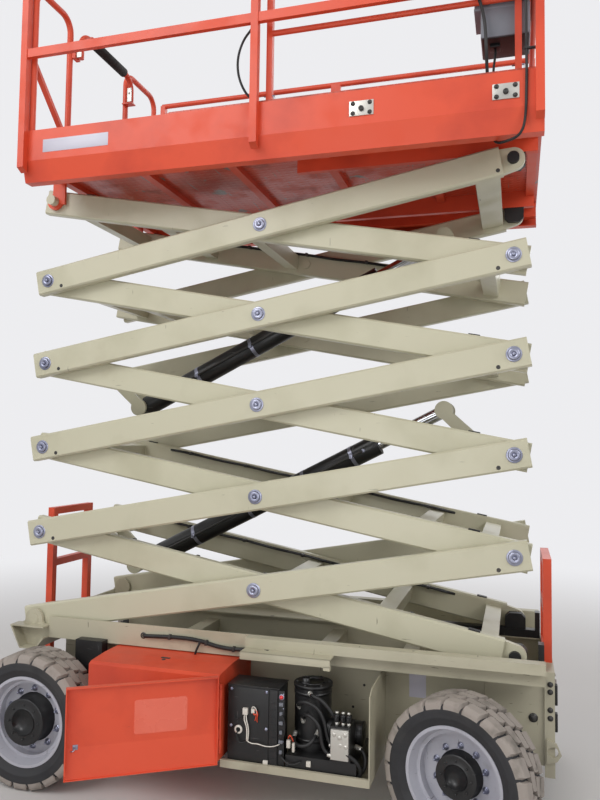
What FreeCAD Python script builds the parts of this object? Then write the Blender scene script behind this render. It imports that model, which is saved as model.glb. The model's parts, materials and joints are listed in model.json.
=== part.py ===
import FreeCAD, Part
import math
import os
import Sketcher

# Self-propelled scissor lift, five stages, shown part-raised with its near component door open.
# Frame: +X forward (steering end), +Y away from the open door, +Z up, millimetres.
# Origin: on the ground, under the middle of the machine's width.

doc = FreeCAD.newDocument("ScissorLift")
sheet = doc.addObject("Spreadsheet::Sheet", "Sizes")

# Driving sizes: alias, value. Lengths in millimetres, angles in degrees.
SIZES = (
    # wheels and steering
    ("rear_axle_x", -1143.0),
    ("wheelbase", 2382.0),
    ("track_half", 755.0),
    ("tyre_radius", 360.0),
    ("tyre_width", 240.0),
    ("tyre_shoulder", 22.0),
    ("sidewall_bulge", 8.0),
    ("bead_room", 4.0),
    ("bead_radius", 226.0),
    ("flange_radius", 241.0),
    ("flange_half", 98.0),
    ("flange_thick", 8.0),
    ("well_radius", 208.0),
    ("disc_radius", 192.0),
    ("disc_outer", 5.0),
    ("disc_inner", 8.0),
    ("rim_step", 42.0),
    ("front_cap_radius", 101.0),
    ("front_cap_reach", 55.0),
    ("rear_cap_radius", 122.0),
    ("rear_cap_reach", 96.0),
    ("king_offset", 180.0),
    ("king_radius", 24.0),
    ("king_barrel", 48.0),
    ("king_half", 110.0),
    ("steer_angle", -20.5),
    ("steer_arm", 150.0),
    ("steer_arm_half", 24.0),
    ("steer_arm_thick", 25.0),
    ("steer_arm_rise", 20.0),
    ("tie_boss", 20.0),
    ("spindle_radius", 55.0),
    ("clevis_plate", 25.0),
    ("clevis_room", 45.0),
    ("axle_half_x", 62.0),
    ("axle_height", 125.0),
    ("saddle_edge", 30.0),
    ("drive_radius", 140.0),
    ("drive_length", 160.0),
    # scissor stack
    ("pin_x", -1309.0),
    ("base_pin_z", 837.0),
    ("arm_length", 2773.0),
    ("rest_angle", 10.5),
    ("raised_angle", 53.5),
    ("arm_height", 150.0),
    ("arm_thick", 60.0),
    ("arm_wall", 6.0),
    ("arm_edge", 9.0),
    ("arm_end", 75.0),
    ("arm_gap", 8.0),
    ("eye_cut", 62.0),
    ("eye_plate", 36.0),
    ("eye_round", 58.0),
    ("outer_arm_y", 478.0),
    ("pin_radius", 30.0),
    ("pin_head", 8.0),
    ("pin_spare", 2.0),
    ("running", 0.3),
    ("cross_size", 90.0),
    ("cross_wall", 6.0),
    ("cross_inset", 136.5),
    ("lug_inset", 426.5),
    ("lug_drop", 170.0),
    ("lug_gap", 70.0),
    ("lug_thick", 20.0),
    ("lug_round", 52.0),
    # lift cylinders
    ("barrel_radius", 63.5),
    ("barrel_length", 1750.0),
    ("barrel_bore_start", 95.0),
    ("eye_neck", 30.0),
    ("rod_radius", 38.0),
    ("rod_tail", 1840.0),
    ("eye_pin", 25.0),
    ("eye_radius", 46.0),
    ("open_eye_half", 52.0),
    ("open_stub", 10.0),
    # slide blocks and tracks
    ("block_half_x", 60.0),
    ("block_half_z", 45.0),
    ("block_width", 60.0),
    ("top_block_width", 30.0),
    ("block_corner", 25.0),
    ("block_side_gap", 5.0),
    ("track_side_gap", 2.0),
    ("track_spare", 30.0),
    ("stop_depth", 28.0),
    ("stop_height", 105.0),
    ("stop_spare", 7.0),
    # chassis
    ("frame_half", 385.0),
    ("plate", 8.0),
    ("frame_bottom", 300.0),
    ("frame_lip", 85.0),
    ("step_z", 738.0),
    ("step_inner", 340.0),
    ("web_y", 562.0),
    ("flange_y", 620.0),
    ("flange_low", 807.0),
    ("flange_top", 858.0),
    ("flange_rear_x", 40.0),
    ("front_overhang", 320.0),
    ("rail_rear_gap", 104.0),
    ("arch_half", 95.0),
    ("arch_top", 440.0),
    ("member_rear_gap", 190.0),
    ("member_mid_gap", 327.5),
    ("member_front_gap", 75.0),
    ("front_beam_depth", 49.0),
    ("front_beam_half", 400.0),
    ("front_beam_low", 250.0),
    ("front_beam_top", 765.0),
    ("trough_half", 118.0),
    ("trough_floor_half", 52.0),
    ("trough_low", 676.0),
    ("trough_top", 800.0),
    ("ear_gap", 8.0),
    ("ear_thick", 18.0),
    ("ear_radius", 58.0),
    ("ear_base_half", 74.0),
    ("member_half_x", 45.0),
    ("member_low", 600.0),
    ("member_top", 690.0),
    ("saddle_height", 80.0),
    ("lug_hole", 25.0),
    ("lug_plate", 12.0),
    ("lug_half", 60.0),
    ("lug_rise", 130.0),
    ("lug_front", 30.0),
    ("battery_rear", 40.0),
    ("battery_front", 990.0),
    ("battery_high", 250.0),
    ("battery_gap", 12.0),
    # side bays
    ("bay_outer", 855.0),
    ("bay_wheel_gap", 33.0),
    ("tray_wheel_gap", 124.0),
    ("cover_low", 300.0),
    ("cover_edge_z", 722.0),
    ("cover_top_z", 732.0),
    ("cover_slope_y", 700.0),
    ("cover_fold", 20.0),
    ("cover_drop", 12.0),
    ("sheet_metal", 5.0),
    ("tray_z", 262.0),
    ("tray_lip", 38.0),
    ("tray_fold", 16.0),
    ("tray_end_high", 450.0),
    ("tray_end_corner", 60.0),
    ("module_high", 400.0),
    ("module_depth", 150.0),
    ("module_share", 0.385),
    ("pump_start_share", 0.44),
    ("pump_share", 0.51),
    ("pump_depth", 330.0),
    ("pump_base", 90.0),
    ("tank_share", 0.135),
    ("motor_share", 0.63),
    ("block_share", 2.2),
    ("bay_room", 30.0),
    ("charger_wide", 170.0),
    ("charger_deep", 60.0),
    ("charger_low", 560.0),
    ("charger_high", 200.0),
    ("charger_gap", 65.0),
    ("door_open", 147.0),
    ("door_gap", 14.0),
    ("door_room", 6.0),
    ("door_low", 300.0),
    ("door_high", 725.0),
    ("door_thick", 30.0),
    ("door_crease", 445.0),
    ("door_tuck", 18.0),
    ("door_lip", 52.0),
    ("door_lip_wide", 70.0),
    ("door_lip_step", 590.0),
    # ladders
    ("ladder_half", 225.0),
    ("ladder_tube", 44.0),
    ("rear_ladder_top", 1455.0),
    ("rear_ladder_low", 420.0),
    ("rear_rung", 330.0),
    ("front_ladder_top", 1300.0),
    ("front_rung", 250.0),
    # platform
    ("deck_over_pin", 158.0),
    ("deck_plate", 10.0),
    ("deck_inset", 14.0),
    ("deck_overhang", 1.0),
    ("deck_seam", 2.0),
    ("sill_width", 72.0),
    ("panel_y", 835.0),
    ("panel_sheet", 6.0),
    ("panel_low", 8.0),
    ("panel_crease", 123.0),
    ("panel_top", 300.0),
    ("panel_tuck", 35.0),
    ("panel_lip", 60.0),
    ("joist_depth", 35.0),
    ("joist_width", 50.0),
    ("joist_inset", 20.0),
    ("side_beam_y", 700.0),
    ("side_beam_width", 60.0),
    ("side_beam_depth", 90.0),
    ("top_ear_radius", 50.0),
    ("top_ear_front", 70.0),
    ("post", 40.0),
    ("post_low", 55.0),
    ("post_slant", 22.0),
    ("mid_post_x", 126.0),
    ("rail_radius", 19.0),
    ("brace_radius", 16.0),
    ("rail_bend", 90.0),
    ("rail_height", 1050.0),
    ("mid_rail_height", 585.0),
    ("mid_rail_half", 25.0),
    ("mid_rail_thick", 28.0),
    ("entry_near_y", -460.0),
    ("entry_far_y", 225.0),
    ("entry_loop", 425.0),
    ("entry_x", 35.0),
    ("entry_drop", 40.0),
    ("entry_mid_drop", 30.0),
    ("bar_offset", 60.0),
    ("bar_inset", 30.0),
    ("bar_drop", 110.0),
    ("bar_leg", 170.0),
    ("bar_bracket", 24.0),
    ("foam_thick", 11.0),
    # roll-out deck
    ("slide_deck_rear_x", -450.0),
    ("slide_side_gap", 41.0),
    ("slide_front_gap", 20.0),
    ("slide_toe", 170.0),
    ("slide_toe_thick", 8.0),
    ("slide_toe_start", 60.0),
    ("slide_post_gap", 55.0),
    ("slide_post_inset", 117.0),
    ("slide_post", 32.0),
    ("slide_rail_radius", 15.0),
    ("slide_rail_drop", 45.0),
    ("control_gap", 36.0),
    ("control_length", 260.0),
    ("control_depth", 210.0),
    ("control_rise", 508.0),
    ("control_height", 300.0),
    ("control_slope", 110.0),
    # hinges and small seats
    ("door_pin", 7.0),
    ("hinge_round", 10.5),
    ("hinge_height", 40.0),
    ("door_edge", 14.0),
    ("hinge_inset", 70.0),
    ("hinge_leaf", 50.0),
    ("hinge_clear", 1.0),
    ("bar_pin", 8.0),
    ("tie_wide", 130.0),
    ("tie_high", 80.0),
    ("tie_inset", 140.0),
)
TYRE_SIDES = 40
JOISTS = 6

for row, (alias, value) in enumerate(SIZES, start=1):
    sheet.set(f"A{row}", alias)
    sheet.set(f"B{row}", str(value))
    sheet.setAlias(f"B{row}", alias)
doc.recompute()


class Size:
    """A number together with the sheet expression that gives it."""

    def __init__(self, value, text):
        self.value = value
        self.text = text

    def __add__(self, other):
        other = as_size(other)
        return Size(self.value + other.value, f"({self.text} + {other.text})")

    def __radd__(self, other):
        return as_size(other) + self

    def __sub__(self, other):
        other = as_size(other)
        return Size(self.value - other.value, f"({self.text} - {other.text})")

    def __rsub__(self, other):
        return as_size(other) - self

    def __mul__(self, other):
        other = as_size(other)
        return Size(self.value * other.value, f"({self.text} * {other.text})")

    def __rmul__(self, other):
        return self * other

    def __truediv__(self, other):
        other = as_size(other)
        return Size(self.value / other.value, f"({self.text} / {other.text})")

    def __neg__(self):
        return Size(-self.value, f"(-1 * {self.text})")


def as_size(number):
    if isinstance(number, Size):
        return number
    return Size(float(number), f"{float(number)}")


def dim(alias):
    return Size(float(sheet.get(alias)), f"Sizes.{alias}")


def sine(angle):
    return Size(math.sin(math.radians(angle.value)), f"sin({angle.text} * 1deg)")


def cosine(angle):
    return Size(math.cos(math.radians(angle.value)), f"cos({angle.text} * 1deg)")


def larger(first, second):
    return Size(max(first.value, second.value), f"max({first.text}; {second.text})")


def by_value(first, second):
    """Two places in rising order, whichever side of the machine they are on."""
    return sorted((as_size(first), as_size(second)), key=lambda size: size.value)


# Sketch planes: Origin role, direction of the sketch normal along its axis, the sketch's own axes.
PLANES = {
    "x": ("YZ_Plane", 1, "yz"),
    "y": ("XZ_Plane", -1, "xz"),
    "z": ("XY_Plane", 1, "xy"),
}


def new_body(name):
    body = doc.addObject("PartDesign::Body", name)
    body.Label = name
    return body


def new_sketch(body, axis, level):
    """A sketch square to an axis, at a distance along it."""
    role, sign, _ = PLANES[axis]
    plane = next(item for item in body.Origin.OriginFeatures if item.Role == role)
    sketch = body.newObject("Sketcher::SketchObject", f"{body.Name}_sketch")
    sketch.AttachmentSupport = [(plane, "")]
    sketch.MapMode = "FlatFace"
    offset = as_size(level) * sign
    sketch.AttachmentOffset = FreeCAD.Placement(
        FreeCAD.Vector(0, 0, offset.value), FreeCAD.Rotation()
    )
    sketch.setExpression("AttachmentOffset.Base.z", offset.text)
    return sketch


def fix_point(sketch, geometry, end, point):
    """Holds one end of a line or a centre at its two named distances from the origin."""
    for kind, sheet_axis, value in (
        ("DistanceX", -2, point[0]),
        ("DistanceY", -1, point[1]),
    ):
        value = as_size(value)
        if value.text == "0.0":
            rule = Sketcher.Constraint("PointOnObject", geometry, end, sheet_axis)
            sketch.addConstraint(rule)
            continue
        rule = Sketcher.Constraint(kind, -1, 1, geometry, end, value.value)
        number = sketch.addConstraint(rule)
        sketch.setExpression(f"Constraints[{number}]", value.text)


def draw_polygon(sketch, points):
    first = sketch.GeometryCount
    count = len(points)
    corners = [
        FreeCAD.Vector(as_size(u).value, as_size(v).value, 0) for u, v in points
    ]
    for number in range(count):
        line = Part.LineSegment(corners[number], corners[(number + 1) % count])
        sketch.addGeometry(line, False)
    for number in range(count):
        following = first + (number + 1) % count
        rule = Sketcher.Constraint("Coincident", first + number, 2, following, 1)
        sketch.addConstraint(rule)
    for number, point in enumerate(points):
        fix_point(sketch, first + number, 1, point)


def draw_circle(sketch, centre, radius):
    radius = as_size(radius)
    middle = FreeCAD.Vector(as_size(centre[0]).value, as_size(centre[1]).value, 0)
    circle = Part.Circle(middle, FreeCAD.Vector(0, 0, 1), radius.value)
    geometry = sketch.addGeometry(circle, False)
    fix_point(sketch, geometry, 3, centre)
    number = sketch.addConstraint(Sketcher.Constraint("Radius", geometry, radius.value))
    sketch.setExpression(f"Constraints[{number}]", radius.text)


def extrude(body, kind, axis, low, high, outlines):
    """Pad or Pocket of closed outlines between two levels along an axis."""
    low = as_size(low)
    high = as_size(high)
    sign = PLANES[axis][1]
    towards_high = (sign > 0) == (kind == "Pad")
    sketch = new_sketch(body, axis, low if towards_high else high)
    for outline in outlines:
        if outline[0] == "circle":
            draw_circle(sketch, outline[1], outline[2])
        else:
            draw_polygon(sketch, outline[1])
    feature = body.newObject(f"PartDesign::{kind}", f"{body.Name}_{kind}")
    feature.Profile = sketch
    feature.Length = (high - low).value
    feature.setExpression("Length", (high - low).text)
    return feature


def add_prism(body, axis, low, high, *polygons):
    return extrude(body, "Pad", axis, low, high, [("polygon", p) for p in polygons])


def cut_prism(body, axis, low, high, *polygons):
    return extrude(body, "Pocket", axis, low, high, [("polygon", p) for p in polygons])


def add_disc(body, axis, low, high, centre, radius):
    return extrude(body, "Pad", axis, low, high, [("circle", centre, radius)])


def cut_disc(body, axis, low, high, centre, radius):
    return extrude(body, "Pocket", axis, low, high, [("circle", centre, radius)])


def rectangle(u_low, u_high, v_low, v_high):
    return [(u_low, v_low), (u_high, v_low), (u_high, v_high), (u_low, v_high)]


def revolve(body, points):
    """Turns a profile of (radius, distance along Y) about the Y axis."""
    sketch = new_sketch(body, "z", 0)
    draw_polygon(sketch, points)
    feature = body.newObject("PartDesign::Revolution", f"{body.Name}_turn")
    feature.Profile = sketch
    feature.ReferenceAxis = (sketch, ["V_Axis"])
    feature.Angle = 360.0
    return feature


def ring(radius):
    """Corners of a many-sided ring about the sketch's origin, its flats at the radius."""
    corner = radius / math.cos(math.pi / TYRE_SIDES)
    step = 2 * math.pi / TYRE_SIDES
    turns = [step * (number + 0.5) for number in range(TYRE_SIDES)]
    return [(corner * math.cos(turn), corner * math.sin(turn)) for turn in turns]


def loft_rings(body, kind, sections):
    """Straight loft through many-sided rings, given as (distance along Y, radius)."""
    sketches = []
    for level, radius in sections:
        sketch = new_sketch(body, "y", level)
        draw_polygon(sketch, ring(radius))
        sketches.append(sketch)
    feature = body.newObject(f"PartDesign::{kind}", f"{body.Name}_loft")
    feature.Profile = sketches[0]
    feature.Sections = sketches[1:]
    feature.Ruled = True
    return feature


def moved_towards(point, goal, distance):
    """The point that lies a distance along a run square to the sketch's axes."""
    along_u = as_size(goal[0]).value - as_size(point[0]).value
    along_v = as_size(goal[1]).value - as_size(point[1]).value
    if abs(along_u) > abs(along_v):
        return (point[0] + distance * math.copysign(1, along_u), point[1])
    return (point[0], point[1] + distance * math.copysign(1, along_v))


def vector(point):
    return FreeCAD.Vector(as_size(point[0]).value, as_size(point[1]).value, 0)


def draw_bend(sketch, start, corner, end, radius, run_before, run_after):
    """Quarter bend between two runs. The runs' ends and the radius hold it."""
    centre = vector(start) + vector(end) - vector(corner)
    middle = centre + (vector(corner) - centre).normalize() * radius.value
    arc = Part.Arc(vector(start), middle, vector(end))
    geometry = sketch.addGeometry(arc, False)
    held = sketch.Geometry[geometry]
    first = 1 if held.StartPoint.distanceToPoint(vector(start)) < radius.value / 2 else 2
    sketch.addConstraint(Sketcher.Constraint("Coincident", run_before, 2, geometry, first))
    sketch.addConstraint(Sketcher.Constraint("Coincident", geometry, 3 - first, run_after, 1))
    number = sketch.addConstraint(Sketcher.Constraint("Radius", geometry, radius.value))
    sketch.setExpression(f"Constraints[{number}]", radius.text)


def bent_tube(body, axis, level, points, radius, bend):
    """Round tube through the corners of a path square to an axis, with a left bend at each."""
    path = new_sketch(body, axis, level)
    bend = as_size(bend)
    points = [(as_size(u), as_size(v)) for u, v in points]
    last = len(points) - 1
    runs = []
    for number in range(last):
        start, end = points[number], points[number + 1]
        if number > 0:
            start = moved_towards(start, points[number + 1], bend)
        if number < last - 1:
            end = moved_towards(end, points[number], bend)
        geometry = path.addGeometry(Part.LineSegment(vector(start), vector(end)), False)
        fix_point(path, geometry, 1, start)
        fix_point(path, geometry, 2, end)
        runs.append((geometry, start, end))
    for number in range(last - 1):
        before, _, bend_start = runs[number]
        after, bend_end, _ = runs[number + 1]
        draw_bend(path, bend_start, points[number + 1], bend_end, bend, before, after)
    own_u, own_v = PLANES[axis][2]
    place = {axis: as_size(level), own_u: points[0][0], own_v: points[0][1]}
    square_to = own_v if points[0][0].value == points[1][0].value else own_u
    profile = new_sketch(body, square_to, place[square_to])
    draw_circle(profile, [place[key] for key in PLANES[square_to][2]], radius)
    pipe = body.newObject("PartDesign::AdditivePipe", f"{body.Name}_tube")
    pipe.Profile = profile
    pipe.Spine = (path, [])
    return pipe


def box_body(name, x, y, z):
    body = new_body(name)
    add_prism(body, "z", z[0], z[1], rectangle(x[0], x[1], y[0], y[1]))
    return body


def mirrored(source, name):
    """The same piece on the other side of the machine's centre plane."""
    mirror = doc.addObject("Part::Mirroring", name)
    mirror.Label = name
    mirror.Source = source
    mirror.Normal = FreeCAD.Vector(0, 1, 0)
    return mirror


NODES = []


def node(label, pieces, place=None, shared=False):
    """Registers one sub-part: a piece, several that share a node, or a copy of a shared one."""
    if len(pieces) == 1 and not shared:
        part = pieces[0]
        part.Label = label
    else:
        part = doc.addObject("Part::Compound", label)
        part.Label = label
        part.Links = pieces
    if place:
        x, y, z, axis, angle = place
        angle = as_size(angle)
        spots = {"x": as_size(x), "y": as_size(y), "z": as_size(z)}
        part.Placement = FreeCAD.Placement(
            FreeCAD.Vector(*(spots[key].value for key in "xyz")),
            FreeCAD.Rotation(axis, angle.value),
        )
        for key, size in spots.items():
            part.setExpression(f"Placement.Base.{key}", size.text)
        part.setExpression("Placement.Rotation.Angle", angle.text)
    NODES.append(part)
    return part


UP = FreeCAD.Vector(0, 0, 1)
ACROSS = FreeCAD.Vector(0, 1, 0)

# Places worked out from the driving sizes.
king_x = dim("rear_axle_x") + dim("wheelbase")
slide_end = dim("pin_x") + dim("arm_length") + dim("block_half_x") + dim("stop_spare")
rail_front_x = larger(king_x + dim("front_overhang"), slide_end + dim("stop_depth"))
king_y = dim("track_half") - dim("king_offset")
hub_z = dim("tyre_radius")
half_arm = dim("arm_length") / 2
stage_height = dim("arm_length") * sine(dim("rest_angle"))
span = dim("arm_length") * cosine(dim("rest_angle"))
outer_in = dim("outer_arm_y")
outer_out = outer_in + dim("arm_thick")
inner_out = outer_in - dim("arm_gap")
inner_in = inner_out - dim("arm_thick")
pin_end = outer_out + dim("pin_spare")
cross_end_x = half_arm - dim("cross_inset")
lug_reach = half_arm - dim("lug_inset")
raised_x = dim("pin_x") + dim("arm_length") * cosine(dim("raised_angle"))
track_rear_x = raised_x - dim("block_half_x") - dim("track_spare")
pin_hole = dim("pin_radius") + dim("running")
step_top = dim("step_z") + dim("plate")
frame_rear_x = dim("pin_x") + dim("rail_rear_gap")
top_pin_z = dim("base_pin_z") + stage_height * 5
deck_top = top_pin_z + dim("deck_over_pin")
deck_under = deck_top - dim("deck_plate")
deck_rear_x = dim("pin_x") + dim("deck_inset")
deck_front_x = rail_front_x + dim("deck_overhang")
slide_front_x = deck_front_x - dim("slide_front_gap")
slide_half = dim("panel_y") - dim("slide_side_gap")
cover_rear_x = dim("rear_axle_x") + dim("tyre_radius") + dim("bay_wheel_gap")
tray_front_x = king_x - dim("tyre_radius") - dim("tray_wheel_gap")
hinge_x = (cover_rear_x + tray_front_x) / 2
cover_front_x = hinge_x - dim("hinge_round")


def make_tyre(name):
    """Tyre with sloping shoulders, a dished wall on each side and a bore for the rim."""
    body = new_body(name)
    half = dim("tyre_width") / 2
    bead = dim("flange_half") - dim("flange_thick") - dim("running")
    shoulder = dim("tyre_shoulder")
    tread_r = dim("tyre_radius")
    wall_r = tread_r - shoulder * 1.5
    outside = [
        (-half, wall_r),
        (shoulder - half, tread_r),
        (half - shoulder, tread_r),
        (half, wall_r),
    ]
    loft_rings(body, "AdditiveLoft", outside)
    flange_r = dim("flange_radius") + dim("bead_room")
    for sign in (-1, 1):
        dish = [
            (bead * sign, flange_r),
            ((half - dim("sidewall_bulge")) * sign, flange_r + shoulder),
            (half * sign, wall_r - dim("bead_room")),
        ]
        loft_rings(body, "SubtractiveLoft", dish)
    cut_prism(body, "y", -bead, bead, ring(dim("bead_radius")))
    return body


def make_rim(name, cap_radius, cap_reach):
    """Stepped deep-dish rim with its hub cap. The dish opens towards -Y."""
    body = new_body(name)
    flange = dim("flange_half")
    seat = dim("bead_radius") - dim("running")
    lip = flange - dim("flange_thick")
    face = dim("disc_outer")
    step = dim("rim_step")
    cap_face = -(face + cap_reach)
    revolve(
        body,
        [
            (0, cap_face),
            (cap_radius, cap_face),
            (cap_radius, -face),
            (dim("disc_radius"), -face),
            (dim("disc_radius"), -(face + step)),
            (dim("well_radius"), -(face + step)),
            (seat, -flange),
            (dim("flange_radius"), -flange),
            (dim("flange_radius"), -lip),
            (seat, -lip),
            (seat, lip),
            (dim("flange_radius"), lip),
            (dim("flange_radius"), flange),
            (dim("well_radius"), flange),
            (dim("well_radius"), dim("disc_inner")),
            (0, dim("disc_inner")),
        ],
    )
    return body


def make_wheels():
    """Two plain rear wheels and two steered front wheels, from one tyre and two rims."""
    tyre = make_tyre("tyre")
    rear_rim = make_rim("rear_rim", dim("rear_cap_radius"), dim("rear_cap_reach"))
    front_rim = make_rim("front_rim", dim("front_cap_radius"), dim("front_cap_reach"))
    for side, sign, turn in (("near", -1, 0), ("far", 1, 180)):
        rear = (dim("rear_axle_x"), dim("track_half") * sign, hub_z, UP, turn)
        front_x = king_x - dim("king_offset") * sine(dim("steer_angle")) * sign
        front_y = (king_y + dim("king_offset") * cosine(dim("steer_angle"))) * sign
        front = (front_x, front_y, hub_z, UP, dim("steer_angle") + turn)
        for end, place, rim in (("rear", rear, rear_rim), ("front", front, front_rim)):
            node(f"tyre_{end}_{side}", [tyre], place, shared=True)
            node(f"rim_{end}_{side}", [rim], place, shared=True)


def make_knuckles():
    """Barrel, kingpin, spindle and tapered steering arm of each front wheel."""
    reach = dim("king_offset") - dim("disc_inner") - dim("running")
    half = dim("king_half")
    wide = dim("steer_arm_half")
    tip = wide / 3
    low = dim("steer_arm_rise") - half
    high = low + dim("steer_arm_thick")
    for side, sign, turn in (("near", -1, 0), ("far", 1, 180)):
        body = new_body(f"knuckle_{side}")
        add_disc(body, "z", -half, half, (0, 0), dim("king_barrel"))
        pin_half = half + dim("running") + dim("clevis_plate")
        add_disc(body, "z", -pin_half, pin_half, (0, 0), dim("king_radius"))
        add_disc(body, "y", -reach, 0, (0, 0), dim("spindle_radius"))
        arm = dim("steer_arm") * sign
        outline = [(0, -wide), (arm, -tip), (arm, tip), (0, wide)]
        add_prism(body, "z", low, high, outline)
        add_disc(body, "z", low, high, (arm, 0), dim("tie_boss"))
        place = (king_x, king_y * sign, hub_z, UP, dim("steer_angle") + turn)
        node(f"knuckle_{side}", [body], place)


def make_axles():
    """Front beam with kingpin clevises, and rear beam with its drive housings."""
    half_x = dim("axle_half_x")
    low = hub_z - dim("axle_height") / 2
    high = hub_z + dim("axle_height") / 2
    saddle_y = dim("frame_half") - dim("frame_lip")
    barrel = dim("king_barrel")
    clevis_in = king_y - barrel - dim("clevis_room")
    wall_out = clevis_in + dim("clevis_plate")
    clevis_out = king_y + barrel * 0.875
    gap_top = dim("king_half") + dim("running")
    gap_out = gap_top + dim("clevis_plate")

    front = new_body("front_axle")
    add_prism(front, "y", -clevis_in, clevis_in, rectangle(-half_x, half_x, low, high))
    saddle_half = half_x + dim("saddle_edge")
    saddle = rectangle(-saddle_half, saddle_half, high, dim("arch_top"))
    add_prism(front, "y", -saddle_y, saddle_y, saddle)
    for sign in (-1, 1):
        ends = by_value(clevis_in * sign, wall_out * sign)
        upright = rectangle(-half_x, half_x, hub_z - gap_out, hub_z + gap_out)
        add_prism(front, "y", ends[0], ends[1], upright)
        ends = by_value(wall_out * sign, clevis_out * sign)
        for base in (hub_z + gap_top, hub_z - gap_out):
            fork = rectangle(-half_x, half_x, ends[0], ends[1])
            top = base + dim("clevis_plate")
            add_prism(front, "z", base, top, fork)
            centre = (0, king_y * sign)
            cut_disc(front, "z", base, top, centre, dim("king_radius") + dim("running"))
    node("front_axle", [front], (king_x, 0, 0, UP, 0))

    rear = new_body("rear_axle")
    drive_in = dim("track_half") - dim("disc_inner") - dim("drive_length")
    drive_out = dim("track_half") - dim("disc_inner") - dim("running")
    add_prism(rear, "y", -drive_in, drive_in, rectangle(-half_x, half_x, low, high))
    add_prism(rear, "y", -saddle_y, saddle_y, saddle)
    for sign in (-1, 1):
        ends = by_value(drive_in * sign, drive_out * sign)
        add_disc(rear, "y", ends[0], ends[1], (0, hub_z), dim("drive_radius"))
    node("rear_axle", [rear], (dim("rear_axle_x"), 0, 0, UP, 0))


def make_side_rails():
    """Each rail is a wall, a step that the arms lie over, a web and a top flange."""
    body = new_body("side_rail_near")
    wall = dim("frame_half")
    inner = wall - dim("plate")
    web = dim("web_y")
    low = dim("frame_bottom")
    web_in = web - dim("plate")
    profile = [
        (-(wall - dim("frame_lip")), low),
        (-wall, low),
        (-wall, dim("step_z")),
        (-web_in, dim("step_z")),
        (-web_in, step_top),
        (-dim("step_inner"), step_top),
        (-dim("step_inner"), dim("step_z")),
        (-inner, dim("step_z")),
        (-inner, low + dim("plate")),
        (-(wall - dim("frame_lip")), low + dim("plate")),
    ]
    add_prism(body, "x", frame_rear_x, rail_front_x, profile)
    for centre in (dim("rear_axle_x"), king_x):
        arch = rectangle(
            centre - dim("arch_half"),
            centre + dim("arch_half"),
            low,
            dim("arch_top"),
        )
        cut_prism(body, "y", -wall, dim("frame_lip") - wall, arch)
    node("side_rails", [body, mirrored(body, "side_rail_far")])

    guard = new_body("rail_web_near")
    upright = rectangle(-web, -web_in, dim("step_z"), dim("flange_top"))
    add_prism(guard, "x", frame_rear_x, rail_front_x, upright)
    flange = rectangle(-dim("flange_y"), -web_in, dim("flange_low"), dim("flange_top"))
    add_prism(guard, "x", dim("flange_rear_x"), rail_front_x, flange)
    node("rail_webs", [guard, mirrored(guard, "rail_web_far")])


def make_cross_members():
    """Boxes across the frame, two of them over the axle saddles."""
    inner = dim("frame_half") - dim("plate")
    half = dim("member_half_x")
    pieces = []
    centres = (
        cover_rear_x + dim("member_rear_gap"),
        hinge_x + dim("member_mid_gap"),
        tray_front_x + dim("member_front_gap"),
    )
    for number, centre in enumerate(centres):
        x = (centre - half, centre + half)
        z = (dim("member_low"), dim("member_top"))
        pieces.append(box_body(f"cross_member_{number}", x, (-inner, inner), z))
    for name, centre in (("rear", dim("rear_axle_x")), ("front", king_x)):
        x = (centre - dim("arch_half"), centre + dim("arch_half"))
        z = (dim("arch_top"), dim("arch_top") + dim("saddle_height"))
        pieces.append(box_body(f"saddle_member_{name}", x, (-inner, inner), z))
    node("cross_members", pieces)


def make_front_beam():
    """Folded end plate with side returns, a top plate and tie-down lugs."""
    body = new_body("front_beam")
    rear = rail_front_x
    front = rear + dim("front_beam_depth")
    half = dim("front_beam_half")
    plate = dim("plate")
    low = dim("front_beam_low")
    top = dim("front_beam_top")
    folded = [
        (rear, -half),
        (front, -half),
        (front, half),
        (rear, half),
        (rear, half - plate),
        (front - plate, half - plate),
        (front - plate, plate - half),
        (rear, plate - half),
    ]
    add_prism(body, "z", low, top, folded)
    add_prism(body, "z", top - plate, top, rectangle(rear, front, -half, half))
    middle = low + dim("lug_rise")
    reach = dim("lug_half")
    tip = front + dim("lug_front")
    hole_x = front - dim("lug_front") / 3
    lug = [
        (rear + plate, middle + reach),
        (rear + plate, middle - reach),
        (front + plate, middle - reach * 0.75),
        (tip, middle - reach * 0.2),
        (front + plate, middle + reach * 0.7),
    ]
    for sign in (-1, 1):
        ends = by_value(half * sign, (half + dim("lug_plate")) * sign)
        add_prism(body, "y", ends[0], ends[1], lug)
        cut_disc(body, "y", ends[0], ends[1], (hole_x, middle), dim("lug_hole"))
    node("front_beam", [body])


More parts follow.
